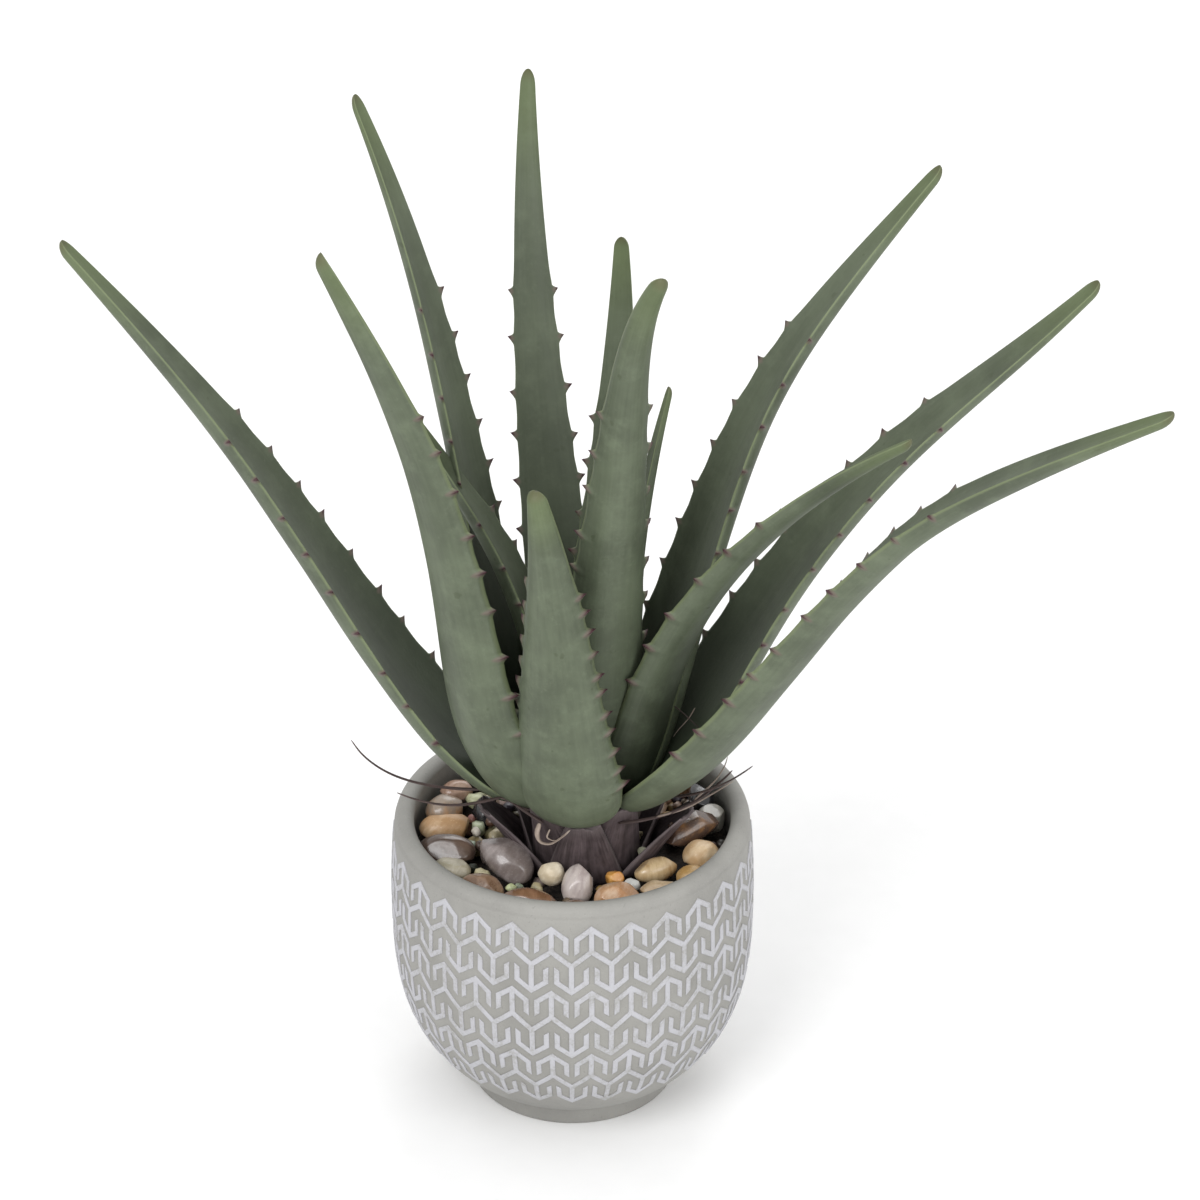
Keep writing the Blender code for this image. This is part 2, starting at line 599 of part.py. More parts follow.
def stone_colours():
    """A plain colour for each kind of stone."""
    shades = {
        "taupe": (0.21, 0.17, 0.15), "tan_block": (0.42, 0.28, 0.15), "grey_tan": (0.34, 0.27, 0.20),
        "dark_brown": (0.09, 0.06, 0.045), "olive": (0.34, 0.31, 0.22), "umber": (0.20, 0.12, 0.075),
        "cream": (0.55, 0.47, 0.33), "chestnut": (0.19, 0.10, 0.055), "mauve_point": (0.35, 0.28, 0.27),
        "russet": (0.16, 0.085, 0.05), "amber": (0.38, 0.20, 0.09), "orange": (0.55, 0.26, 0.06),
        "sand": (0.42, 0.31, 0.19), "long_brown": (0.10, 0.06, 0.04), "golden": (0.42, 0.27, 0.12),
        "rough_tan": (0.48, 0.34, 0.20), "honey": (0.42, 0.26, 0.11), "smooth_grey": (0.30, 0.29, 0.26),
        "black": (0.015, 0.015, 0.017), "slate": (0.03, 0.03, 0.034), "back_tan": (0.36, 0.22, 0.15),
        "rust": (0.30, 0.14, 0.07), "back_grey": (0.24, 0.22, 0.20), "back_brown": (0.15, 0.09, 0.06),
        "back_cream": (0.48, 0.41, 0.30), "back_umber": (0.18, 0.11, 0.07), "white": (0.60, 0.60, 0.56),
        "back_slate": (0.05, 0.05, 0.055), "back_amber": (0.36, 0.20, 0.09), "back_rose": (0.34, 0.23, 0.19),
        "right_umber": (0.17, 0.11, 0.07), "back_olive": (0.30, 0.27, 0.19),
    }
    return {kind: material("stone_" + kind, shade, 0.3) for kind, shade in shades.items()}


# ---------------------------------------------------------------- build

SCALE_SECTION = (
    (1, 0), (0.62, -0.74), (0, -1), (-0.62, -0.74), (-1, 0), (-0.58, -0.48), (0, -0.76), (0.58, -0.48))
STRAND_SECTION = ((1, 0), (0.5, -0.9), (-0.5, -0.9), (-1, 0), (-0.5, 0.9), (0.5, 0.9))


def main():
    for obj in list(bpy.data.objects):
        bpy.data.objects.remove(obj, do_unlink=True)
    home = link("potted_aloe")
    cutters = link("cutters", hidden=True)
    made = []
    leaf_green = material("leaf_green", (0.19, 0.235, 0.165), 0.55)
    build_blades(LEAVES, crown_height(), home, cutters, leaf_green, made)
    stem_room = build_stem(home, cutters, made)
    made.append((None, None, stem_room))
    dried_scale = material("dried_scale", (0.11, 0.075, 0.08), 0.7)
    build_blades(SCALES, soil_top(), home, cutters, dried_scale, made,
                 section=SCALE_SECTION, thickness=0.26, tip_thickness=0.20, tip_width=0.45, bends=3,
                 flat_until=-1, root_width=0.85, plain=True)
    dried_fibre = material("dried_fibre", (0.09, 0.06, 0.055), 0.75)
    build_blades(STRANDS, crown_height(), home, cutters, dried_fibre, made,
                 section=STRAND_SECTION, thickness=0.30, tip_thickness=0.30, tip_width=0.30,
                 flat_until=-1, plain=True)
    build_pot(home)
    rooms = [cutter for _, _, cutter in made[len(LEAVES):]]
    build_soil(home, rooms[:1 + len(SCALES)])
    build_stones(home, rooms[1:])


main()
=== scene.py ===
"""Potted aloe: the looks around its fixed frame. Metres, +Z up, front facing -Y."""
import math
import random

import bmesh
import bpy
from mathutils import Matrix, Vector, noise
from mathutils.bvhtree import BVHTree


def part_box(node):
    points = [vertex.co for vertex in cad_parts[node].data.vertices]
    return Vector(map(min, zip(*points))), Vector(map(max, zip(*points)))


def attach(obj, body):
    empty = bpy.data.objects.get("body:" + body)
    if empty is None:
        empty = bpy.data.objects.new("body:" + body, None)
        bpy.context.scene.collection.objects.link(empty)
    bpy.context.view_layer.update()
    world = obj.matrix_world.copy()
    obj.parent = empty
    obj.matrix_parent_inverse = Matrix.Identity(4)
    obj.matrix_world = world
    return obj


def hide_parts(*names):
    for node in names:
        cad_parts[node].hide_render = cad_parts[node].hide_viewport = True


bl_info = {
    "name": "Potted aloe",
    "version": (1, 0, 0),
    "blender": (4, 5, 0),
    "location": "View3D > Sidebar > Aloe",
    "description": "Makes a toothed aloe in a patterned pot topped with pebbles",
    "category": "Add Mesh",
}

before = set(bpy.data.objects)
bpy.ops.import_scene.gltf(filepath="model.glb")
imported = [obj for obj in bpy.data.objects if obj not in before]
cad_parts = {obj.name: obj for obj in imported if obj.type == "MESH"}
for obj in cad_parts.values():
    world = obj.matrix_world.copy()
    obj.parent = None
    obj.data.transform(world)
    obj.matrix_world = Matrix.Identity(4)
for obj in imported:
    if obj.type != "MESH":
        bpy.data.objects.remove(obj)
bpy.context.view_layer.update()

POT_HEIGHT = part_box("pot")[1].z
POT_RADIUS = 0.0729
LIP_RADIUS = 0.071
FOOT_RADIUS = 0.0425
FOOT_HEIGHT = 0.009
POT_WALL = 0.0075
POT_FLOOR = 0.01
BELLY_HEIGHT = 0.09
SOIL_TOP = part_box("soil")[1].z
ROSETTE = Vector((0.006, -0.004, 0.0))

# Leaves, as shares of the length or of the width
LEAF_FULL_WIDTH_AT = 0.14
LEAF_TIP_WIDTH = 0.17
LEAF_THICKNESS = 0.32
LEAF_TIP_SWELL = 0.28  # how much thicker, for its width, a leaf is at the tip
LEAF_HOLLOW = 0.3  # how deep the inner face is, as a share of the thickness
LEAF_NOSE = 0.022
LEAF_HEEL = 0.01
LAST_TOOTH = 0.72
RING_STEP = 0.0017  # between two rings of a leaf
TOOTH_REACH = 0.0025  # half a tooth's base
TOOTH_HOOK = 0.0013
TOOTH_RINGS = [way * step for way in (-1, 1) for step in (0, 0.0004, 0.0008, 0.0012, 0.0017, 0.0022, 0.0028)]

# Pot pattern
PATTERN_UNITS = 29
PATTERN_PITCH = 2 * math.pi * 0.0722 / PATTERN_UNITS
PATTERN_ROWS = (  # heights of the zigzag's peaks and valleys, and of the arrows' tips
    (0.1065, 0.1, 0.118, 0.0865), (0.0755, 0.0685, 0.0885, 0.055), (0.0446, 0.0375, 0.057, 0.025))
STROKE = 0.0021
ARROW_REACH = 0.0057  # from an arrow's spine to its legs
ARROW_DROP = 0.0045  # from its tip down to its shoulders
ARROW_LEG = 0.0077

# One row a leaf: bearing, leans at five places, length, width, swing, twist at root and tip,
# seat (distance, height, degrees aside), teeth (first, spacing).
LEAVES = {
    "leaf_front": (
        251, (19, 12, 7, 14, 20), 0.169, 0.042, -6, (3, -5), (0.022, 0.14, 7), (0.022, 0.0095)),
    "leaf_centre": (
        294, (8, 9, 11, 13, 41), 0.261, 0.036, 2, (2, -22), (0.004, 0.141, -2), (0.075, 0.0185)),
    "leaf_back_short": (
        74, (11, 14, 16, 9, -2), 0.222, 0.031, -1, (1, 1), (0.005, 0.141, 2), (0.09, 0.0185)),
    "leaf_right_short": (
        14, (4, 2, 5, 11, 15), 0.174, 0.02, -1, (0, -2), (0.012, 0.141, 6), (0.08, 0.017)),
    "leaf_left_inner": (
        169, (1, 8, 21, 33, 33), 0.172, 0.03, 1, (-1, 0), (0.01, 0.141, -1), (0.07, 0.017)),
    "leaf_back": (
        107, (17, 23, 27, 27, 26), 0.281, 0.031, -20, (-1, 1), (0.01, 0.139, 1), (0.1, 0.0185)),
    "leaf_right_inner": (
        -22, (11, 17, 33, 46, 58), 0.222, 0.032, -1, (-20, -9), (0.013, 0.14, 6), (0.06, 0.018)),
    "leaf_right_back": (
        25, (17, 18, 23, 41, 45), 0.283, 0.036, -6, (8, -8), (0.015, 0.138, 3), (0.07, 0.0185)),
    "leaf_back_left": (
        155, (24, 12, 12, 17, 25), 0.294, 0.03, 2, (2, -3), (0.014, 0.138, -1), (0.08, 0.0185)),
    "leaf_front_left": (
        214, (34, 10, 13, 23, 28), 0.275, 0.042, -4, (6, -9), (0.021, 0.14, -18), (0.05, 0.0185)),
    "leaf_right_low": (
        -35, (46, 34, 36, 53, 59), 0.326, 0.037, 7, (-6, 10), (0.017, 0.14, 5), (0.055, 0.0185)),
    "leaf_right": (
        11, (38, 30, 40, 51, 47), 0.277, 0.037, -3, (12, 5), (0.018, 0.138, -3), (0.065, 0.0185)),
    "leaf_left": (
        172, (54, 34, 32, 38, 41), 0.291, 0.037, 4, (-7, 2), (0.022, 0.138, 4), (0.045, 0.0185)),
}

# One row a dried scale: bearing, leans, length, width, seat (distance, height).
SCALES = {
    "scale_front": (302, (16, 18, 20, 22, 24), 0.04, 0.031, (0.0125, 0.107)),
    "scale_front_left": (232, (16, 20, 24, 28, 30), 0.04, 0.031, (0.0125, 0.107)),
    "scale_right": (22, (26, 32, 36, 40, 42), 0.038, 0.033, (0.0125, 0.107)),
    "scale_back_left": (146, (26, 32, 36, 40, 42), 0.038, 0.034, (0.0125, 0.107)),
    "scale_front_middle": (267, (18, 20, 20, 22, 24), 0.036, 0.03, (0.0165, 0.1065)),
    "scale_front_right": (342, (30, 36, 40, 44, 46), 0.04, 0.032, (0.0165, 0.1065)),
    "scale_left": (193, (30, 36, 40, 44, 46), 0.04, 0.032, (0.0165, 0.1065)),
    "scale_back": (84, (28, 34, 38, 42, 44), 0.038, 0.036, (0.0165, 0.1065)),
}

# One row a long fibre: bearing, leans, length, swing, seat (distance, height).
STRANDS = {
    "strand_left_upper": (190, (84, 77, 67, 49, 26), 0.062, -12, (0.041, 0.142)),
    "strand_left_lower": (205, (90, 86, 74, 64, 58), 0.046, -14, (0.037, 0.144)),
    "strand_right": (335, (72, 62, 55, 48, 44), 0.04, 8, (0.038, 0.1445)),
}

# One row a pebble: base colour, second colour, how much of it shows, roughness.
STONES = {
    "stone_taupe": ((0.165, 0.135, 0.125), (0.29, 0.25, 0.24), 0.5, 0.16),
    "stone_tan_block": ((0.42, 0.25, 0.12), (0.62, 0.46, 0.3), 0.5, 0.38),
    "stone_grey_tan": ((0.3, 0.24, 0.19), (0.5, 0.27, 0.12), 0.4, 0.26),
    "stone_dark_brown": ((0.07, 0.045, 0.034), (0.15, 0.1, 0.075), 0.4, 0.14),
    "stone_olive": ((0.3, 0.27, 0.19), (0.46, 0.42, 0.33), 0.5, 0.3),
    "stone_umber": ((0.17, 0.1, 0.06), (0.3, 0.19, 0.12), 0.5, 0.2),
    "stone_cream": ((0.58, 0.48, 0.33), (0.72, 0.64, 0.5), 0.6, 0.45),
    "stone_chestnut": ((0.17, 0.085, 0.042), (0.28, 0.15, 0.085), 0.5, 0.14),
    "stone_mauve_point": ((0.3, 0.24, 0.235), (0.52, 0.46, 0.43), 0.6, 0.24),
    "stone_russet": ((0.14, 0.075, 0.042), (0.25, 0.13, 0.07), 0.5, 0.2),
    "stone_amber": ((0.4, 0.2, 0.085), (0.56, 0.4, 0.27), 0.5, 0.16),
    "stone_orange": ((0.56, 0.24, 0.045), (0.66, 0.36, 0.1), 0.5, 0.25),
    "stone_white": ((0.55, 0.56, 0.54), (0.72, 0.72, 0.7), 0.5, 0.22),
    "stone_sand": ((0.4, 0.28, 0.16), (0.54, 0.42, 0.28), 0.5, 0.22),
    "stone_long_brown": ((0.08, 0.048, 0.035), (0.34, 0.17, 0.06), 0.3, 0.1),
    "stone_golden": ((0.36, 0.22, 0.095), (0.56, 0.42, 0.24), 0.5, 0.18),
    "stone_rough_tan": ((0.5, 0.33, 0.17), (0.7, 0.56, 0.38), 0.5, 0.42),
    "stone_honey": ((0.42, 0.25, 0.085), (0.58, 0.42, 0.22), 0.5, 0.35),
    "stone_smooth_grey": ((0.26, 0.25, 0.22), (0.38, 0.36, 0.31), 0.5, 0.24),
    "stone_black": ((0.01, 0.01, 0.012), (0.035, 0.035, 0.04), 0.3, 0.08),
    "stone_slate": ((0.018, 0.018, 0.02), (0.05, 0.05, 0.055), 0.3, 0.15),
    "stone_back_tan": ((0.34, 0.21, 0.15), (0.46, 0.33, 0.26), 0.5, 0.26),
    "stone_rust": ((0.32, 0.14, 0.06), (0.46, 0.28, 0.17), 0.5, 0.28),
    "stone_back_grey": ((0.22, 0.2, 0.185), (0.34, 0.31, 0.28), 0.5, 0.22),
    "stone_back_brown": ((0.13, 0.08, 0.05), (0.24, 0.15, 0.1), 0.5, 0.18),
    "stone_back_cream": ((0.5, 0.42, 0.3), (0.64, 0.56, 0.44), 0.5, 0.32),
    "stone_back_umber": ((0.16, 0.1, 0.06), (0.28, 0.19, 0.13), 0.5, 0.2),
    "stone_back_slate": ((0.035, 0.035, 0.038), (0.09, 0.09, 0.095), 0.4, 0.16),
    "stone_back_amber": ((0.36, 0.19, 0.085), (0.5, 0.34, 0.21), 0.5, 0.2),
    "stone_back_rose": ((0.32, 0.22, 0.19), (0.46, 0.36, 0.32), 0.5, 0.26),
    "stone_right_umber": ((0.16, 0.105, 0.065), (0.3, 0.21, 0.15), 0.5, 0.2),
    "stone_back_olive": ((0.28, 0.25, 0.18), (0.42, 0.38, 0.29), 0.5, 0.28),
}

# Colours of the small gravel, picked at random.
GRAVEL_TINTS = (
    (0.34, 0.21, 0.11), (0.2, 0.12, 0.07), (0.46, 0.37, 0.25), (0.1, 0.065, 0.045), (0.3, 0.27, 0.23),
    (0.42, 0.24, 0.09), (0.55, 0.48, 0.37), (0.05, 0.045, 0.045))


# ---- settings

class AloeSettings(bpy.types.PropertyGroup):
    """Sizes and colours to change before the pieces are made."""
    tooth_height: bpy.props.FloatProperty(
        name="Tooth height", description="How far a leaf's largest teeth stand out",
        default=0.0034, unit="LENGTH")
    relief: bpy.props.FloatProperty(
        name="Pattern relief", description="How far the pot's pattern stands out",
        default=0.00045, unit="LENGTH")
    gravel_count: bpy.props.IntProperty(
        name="Gravel tries", description="How many small stones are dropped, not all of which find room",
        default=3000)
    leaf_green: bpy.props.FloatVectorProperty(
        name="Leaf green", description="Main colour of the leaves",
        default=(0.108, 0.131, 0.083), subtype="COLOR")
    pot_grey: bpy.props.FloatVectorProperty(
        name="Pot grey", description="Colour of the bare pot",
        default=(0.285, 0.28, 0.262), subtype="COLOR")
    wash_white: bpy.props.FloatVectorProperty(
        name="Wash white", description="Colour of the pattern",
        default=(0.46, 0.46, 0.49), subtype="COLOR")


def settings():
    return bpy.context.scene.aloe_settings


# ---- finishes

class Wire:
    """One output in a material's nodes. Arithmetic on wires adds Math nodes."""

    def __init__(self, finish, socket):
        self.finish = finish
        self.socket = socket

    def maths(self, operation, a, b):
        return self.finish.add("ShaderNodeMath", {"operation": operation}, {0: a, 1: b})

    def __add__(self, other):
        return self.maths("ADD", self, other)

    __radd__ = __add__

    def __sub__(self, other):
        return self.maths("SUBTRACT", self, other)

    def __rsub__(self, other):
        return self.maths("SUBTRACT", other, self)

    def __mul__(self, other):
        return self.maths("MULTIPLY", self, other)

    __rmul__ = __mul__


class Finish:
    """One material in the making."""

    def __init__(self, name, **constants):
        self.material = bpy.data.materials.new(name)
        self.material.use_nodes = True
        self.tree = self.material.node_tree
        self.shader = self.tree.nodes["Principled BSDF"]
        for socket, value in constants.items():
            self.shader.inputs[socket.replace("_", " ")].default_value = value
        self.place = self.add("ShaderNodeTexCoord", out="Object")

    def add(self, kind, before=None, inputs=None, out=0):
        """Add a node: its settings first, then the values or links of its sockets."""
        node = self.tree.nodes.new(kind)
        for name, value in (before or {}).items():
            setattr(node, name, value)
        for socket, value in (inputs or {}).items():
            self.plug(node.inputs[socket], value)
        return Wire(self, node.outputs[out])

    def plug(self, socket, value):
        """Link a wire to a socket, or set its value."""
        if isinstance(value, Wire):
            self.tree.links.new(value.socket, socket)
        elif socket.type == "RGBA" and len(value) == 3:
            socket.default_value = (*value, 1.0)
        else:
            socket.default_value = value

    def feed(self, socket, value):
        """Give one of the shader's own sockets a value or a link."""
        self.plug(self.shader.inputs[socket], value)

    def blend(self, share, a, b, mode="MIX"):
        """Mix two colours: the mix node's colour sockets are 6 and 7, and its colour result is 2."""
        kind = {"data_type": "RGBA", "blend_type": mode}
        return self.add("ShaderNodeMix", kind, {0: share, 6: a, 7: b}, out=2)

    def grain(self, scale, detail=3.0, vector=None, roughness=0.55):
        """Noise from 0 to 1 in space, or along another vector."""
        sockets = {"Vector": vector or self.place, "Scale": scale, "Detail": detail, "Roughness": roughness}
        return self.add("ShaderNodeTexNoise", {}, sockets, out="Fac")

    def step(self, value, low, high):
        """0 below low, 1 above high, smooth between."""
        return self.add("ShaderNodeMapRange", {"interpolation_type": "SMOOTHSTEP"}, {
            "Value": value, "From Min": low, "From Max": high}, out="Result")

    def stretched(self, vector, size):
        """The same place, stretched by a different amount along each axis."""
        return self.add("ShaderNodeMapping", {}, {"Vector": vector, "Scale": size}, out="Vector")

    def bump(self, height, strength, distance):
        """Roughen the surface with a height pattern."""
        self.feed("Normal", self.add("ShaderNodeBump", {}, {
            "Strength": strength, "Distance": distance, "Height": height}, out="Normal"))

    def marks(self, name):
        """The four numbers of a stored colour: red, green, blue and alpha."""
        colour = self.add("ShaderNodeAttribute", {"attribute_name": name}, out="Color")
        split = self.tree.nodes.new("ShaderNodeSeparateColor")
        self.plug(split.inputs[0], colour)
        alpha = self.add("ShaderNodeAttribute", {"attribute_name": name}, out="Alpha")
        return [Wire(self, split.outputs[i]) for i in range(3)] + [alpha]


def shade(colour, times, plus=0.0):
    """A colour made darker or lighter."""
    return tuple(min(1.0, c * times + plus) for c in colour)


def leaf_finish():
    """Waxy grey-green skin with paler margins, dusky teeth and a yellower tip, and painted shade darkening
    the inner faces, most near the root.
    """
    made = Finish("leaf_skin", Specular_IOR_Level=0.36)
    green = tuple(settings().leaf_green)
    dark = shade(green, 0.64)
    pale = shade(green, 1.38, 0.012)
    along, edge, tooth, inner = made.marks("blade")
    uv = made.add("ShaderNodeTexCoord", out="UV")
    patches = made.grain(24.0, 4.0, roughness=0.6)
    cloud = made.grain(85.0, 6.0, roughness=0.7)
    streaks = made.grain(1.0, 4.0, made.stretched(uv, (38.0, 7.0, 1.0)))
    skin = made.blend(made.step(patches * 0.78 + streaks * 0.22, 0.36, 0.64), dark, green)
    skin = made.blend(made.step(cloud, 0.42, 0.78) * 0.5, skin, pale)
    skin = made.blend(made.step(made.grain(420.0, 2.0), 0.6, 0.78) * 0.22, skin, pale)
    skin = made.blend(made.step(made.grain(150.0, 2.0), 0.7, 0.75) * 0.45, skin, (0.05, 0.062, 0.03))
    # Painted shade: the inner faces are darkened, and darker still towards the root, where the heart of the
    # rosette lies in shade.
    skin = made.blend(inner * 0.34, skin, dark)
    skin = made.blend(inner * made.step(along, 0.62, 0.05) * 0.72, skin, (0.022, 0.03, 0.019))
    skin = made.blend(made.step(along, 0.8, 0.99) * 0.48, skin, (0.13, 0.172, 0.064))
    skin = made.blend(made.step(along, 0.978, 1.0) * 0.7, skin, (0.1, 0.095, 0.045))
    skin = made.blend(made.step(edge, 0.45, 0.95) * 0.72, skin, (0.225, 0.268, 0.14))
    skin = made.blend(made.step(tooth, 0.14, 0.4) * 0.7, skin, (0.14, 0.105, 0.088))
    skin = made.blend(made.step(tooth, 0.42, 0.8), skin, (0.062, 0.024, 0.03))
    made.feed("Base Color", skin)
    made.feed("Roughness", 0.47 + 0.2 * cloud - 0.05 * streaks)
    made.bump(made.grain(900.0, 3.0) * 0.25 + streaks * 0.35 + cloud * 0.6, 0.35, 0.0006)
    return made.material


def pot_finish():
    """Fine-grained grey body, a little mottled, with small pits."""
    made = Finish("pot_body", Specular_IOR_Level=0.35)
    grey = tuple(settings().pot_grey)
    mottle = made.grain(34.0, 5.0, roughness=0.65)
    speck = made.grain(1400.0, 2.0)
    body = made.blend(made.step(mottle, 0.32, 0.7), shade(grey, 0.9), shade(grey, 1.07))
    body = made.blend(made.step(speck, 0.58, 0.74) * 0.3, body, shade(grey, 1.25))
    body = made.blend(made.step(made.grain(900.0, 1.0), 0.66, 0.76) * 0.35, body, shade(grey, 0.66))
    made.feed("Base Color", body)
    made.feed("Roughness", 0.58 + 0.22 * mottle)
    made.bump(speck * 0.5 + made.grain(260.0, 4.0) * 0.8 + mottle * 0.4, 0.3, 0.0004)
    return made.material


def wash_finish():
    """Brushed white wash, thinner where the grey shows through."""
    made = Finish("pot_wash", Specular_IOR_Level=0.35)
    white = tuple(settings().wash_white)
    grey = shade(settings().pot_grey, 1.05)
    patch = made.grain(120.0, 5.0, roughness=0.7)
    fine = made.grain(1100.0, 3.0)
    wear = made.step(patch * 0.65 + fine * 0.35, 0.28, 0.56)
    made.feed("Base Color", made.blend(wear * 0.92, grey, white))
    made.feed("Roughness", 0.62 + 0.2 * fine)
    made.bump(fine * 0.7 + patch * 0.6, 0.35, 0.0003)
    return made.material


def stone_finish(name, base, second, share, roughness):
    """A tumbled stone: drifting bands of two colours, fine specks and a polish."""
    made = Finish(name, Coat_Weight=0.45 if roughness < 0.3 else 0.1, Coat_Roughness=0.08)
    shift = (len(name) * 0.37 + sum(map(ord, name)) * 0.011) % 9.0    # so that no two look alike
    where = made.add("ShaderNodeMapping", {}, {
        "Vector": made.place, "Location": (shift, shift * 0.7, -shift),
        "Rotation": (shift, shift * 0.6, shift * 1.7)}, out="Vector")
    warp = made.grain(60.0, 4.0, where)
    bands = made.grain(1.0, 5.0, made.stretched(where, (90.0, 150.0, 320.0)), 0.6)
    drift = made.step(warp * 0.5 + bands * 0.5, 0.62 - share * 0.4, 0.9 - share * 0.5)
    colour = made.blend(drift, base, second)
    veins = made.step(made.grain(130.0, 6.0, where, 0.7), 0.6, 0.72)
    colour = made.blend(veins * 0.35, colour, shade(base, 0.55))
    specks = made.step(made.grain(1500.0, 2.0, where), 0.6, 0.72)
    colour = made.blend(specks * 0.22, colour, shade(second, 1.6, 0.03))
    made.feed("Base Color", colour)
    made.feed("Roughness", roughness + 0.16 * bands)
    made.bump(made.grain(420.0, 5.0, where, 0.6) + veins * 0.3, 0.18 + roughness * 0.8, 0.0005)
    return made.material


def gravel_finish():
    """Small stones, each tinted by its own stored colour."""
    made = Finish("gravel_mix", Coat_Weight=0.2, Coat_Roughness=0.15)
    tint = made.add("ShaderNodeAttribute", {"attribute_name": "tint"}, out="Color")
    cloud = made.grain(300.0, 4.0)
    dark = made.blend(1.0, tint, (0.55, 0.55, 0.55), "MULTIPLY")
    made.feed("Base Color", made.blend(made.step(cloud, 0.35, 0.65), dark, tint))
    made.feed("Roughness", 0.28 + 0.3 * cloud)
    made.bump(made.grain(900.0, 4.0), 0.4, 0.0004)
    return made.material


def soil_finish():
    """Dark crumbly potting mix."""
    made = Finish("potting_mix", Roughness=0.95)
    lumps = made.grain(320.0, 6.0, roughness=0.7)
    earth = made.blend(made.step(lumps, 0.35, 0.7), (0.01, 0.008, 0.007), (0.06, 0.045, 0.034))
    made.feed("Base Color", earth)
    made.bump(lumps + made.grain(1200.0, 3.0) * 0.4, 0.9, 0.0015)
    return made.material


def husk_finish(name, dark, mid, pale, ribs):
    """Papery dried leaf: fine ribs along it, paler frayed edges, and painted shade darkening the inner face.
    """
    made = Finish(name, Specular_IOR_Level=0.35)
    along, edge, _, inner = made.marks("blade")
    uv = made.add("ShaderNodeTexCoord", out="UV")
    lines = made.grain(1.0, 3.0, made.stretched(uv, (ribs, 2.2, 1.0)))
    cloud = made.grain(160.0, 5.0, roughness=0.65)
    colour = made.blend(made.step(lines * 0.6 + cloud * 0.4, 0.34, 0.66), dark, mid)
    colour = made.blend(made.step(lines, 0.6, 0.78) * 0.4, colour, pale)
    colour = made.blend(made.step(along, 0.8, 1.0) * 0.35, colour, pale)
    colour = made.blend(made.step(edge, 0.4, 1.0) * 0.45, colour, pale)
    # Painted shade: the inner face, turned in against the stem, is darkened.
    colour = made.blend(inner * 0.5, colour, shade(dark, 0.5))
    made.feed("Base Color", colour)
    made.feed("Roughness", 0.55 + 0.25 * cloud)
    made.bump(lines + cloud * 0.4, 0.6, 0.0006)
    return made.material


def floor_finish():
    """Matt white paper."""
    made = Finish("pale_floor", Roughness=0.85)
    paper = made.grain(60.0, 3.0)
    made.feed("Base Color", made.blend(paper, (0.86, 0.86, 0.86), (0.9, 0.9, 0.9)))
    return made.material


# ---- shaping

def clear_selection():
    if bpy.context.object and bpy.context.object.mode != "OBJECT":
        bpy.ops.object.mode_set(mode="OBJECT")
    bpy.ops.object.select_all(action="DESELECT")


def take(obj):
    """Make one object the selected, active one."""
    clear_selection()
    obj.select_set(True)
    bpy.context.view_layer.objects.active = obj


def coat(obj, finish):
    """Smooth shading and one finish."""
    bpy.ops.object.shade_smooth()
    obj.data.materials.clear()
    obj.data.materials.append(finish)


def refill(obj, name, points, faces):
    """Give a new primitive its own name, points and faces."""
    obj.name = name
    obj.data.name = name
    obj.data.clear_geometry()
    obj.data.from_pydata(points, [], faces)


def skin(name, rings, finish, marks=None):
    """Roll a grid into a closed tube through equal rings of points and close its seam and ends.

    marks holds four numbers for each point, stored as a colour named blade."""
    clear_selection()
    around = len(rings[0])
    bpy.ops.mesh.primitive_grid_add(x_subdivisions=around, y_subdivisions=len(rings) - 1, size=1.0)
    obj = bpy.context.object
    obj.name = name
    obj.data.name = name
    points = [axis for ring in rings for p in (*ring, ring[0]) for axis in p]
    obj.data.vertices.foreach_set("co", points)
    if marks:
        stored = obj.data.attributes.new("blade", "FLOAT_COLOR", "POINT")
        values = [v for row in marks for mark in (*row, row[0]) for v in mark]
        stored.data.foreach_set("color", values)
    bpy.ops.object.mode_set(mode="EDIT")
    bpy.ops.mesh.select_all(action="SELECT")
    bpy.ops.mesh.remove_doubles(threshold=0.000002)
    bpy.ops.mesh.normals_make_consistent(inside=False)
    bpy.ops.object.mode_set(mode="OBJECT")
    coat(obj, finish)
    return obj


def settle(obj, node):
    """Fix a finished piece to the frame in place of its CAD node."""
    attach(obj, "root")
    if node:
        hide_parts(node)


def along_curve(values, t):
    """A smooth curve through evenly spaced values, read from 0 to 1."""
    last = len(values) - 1
    x = min(max(t, 0.0), 1.0) * last
    i = min(int(x), last - 1)
    f = x - i
    ext = (2 * values[0] - values[1], *values, 2 * values[-1] - values[-2])
    a, b, c, d = ext[i:i + 4]
    bend = 2 * a - 5 * b + 4 * c - d
    return 0.5 * (2 * b + (c - a) * f + bend * f * f + (3 * b - a - 3 * c + d) * f ** 3)


def path_frames(places, bearing, leans, length, swing, twist, seat):
    """For each place from 0 to 1: the place, its point on the path, and the ways along, across and in."""
    def direction(t):
        lean = math.radians(along_curve(leans, t))
        turn = math.radians(bearing + swing * t * t)
        ahead = Vector((math.sin(lean) * math.cos(turn), math.sin(lean) * math.sin(turn), math.cos(lean)))
        return ahead, Vector((-math.sin(turn), math.cos(turn), 0))

    radius, height, aside = seat
    turn = math.radians(bearing + aside)
    point = ROSETTE + Vector((radius * math.cos(turn), radius * math.sin(turn), height))
    frames = []
    before = places[0]
    for t in places:
        point = point + direction((before + t) / 2)[0] * (length * (t - before))
        before = t
        ahead, across = direction(t)
        inward = ahead.cross(across)
        angle = math.radians(twist[0] + (twist[1] - twist[0]) * t)
        side = across * math.cos(angle) + inward * math.sin(angle)
        up = inward * math.cos(angle) - across * math.sin(angle)
        frames.append((t, point.copy(), ahead, side, up))
    return frames


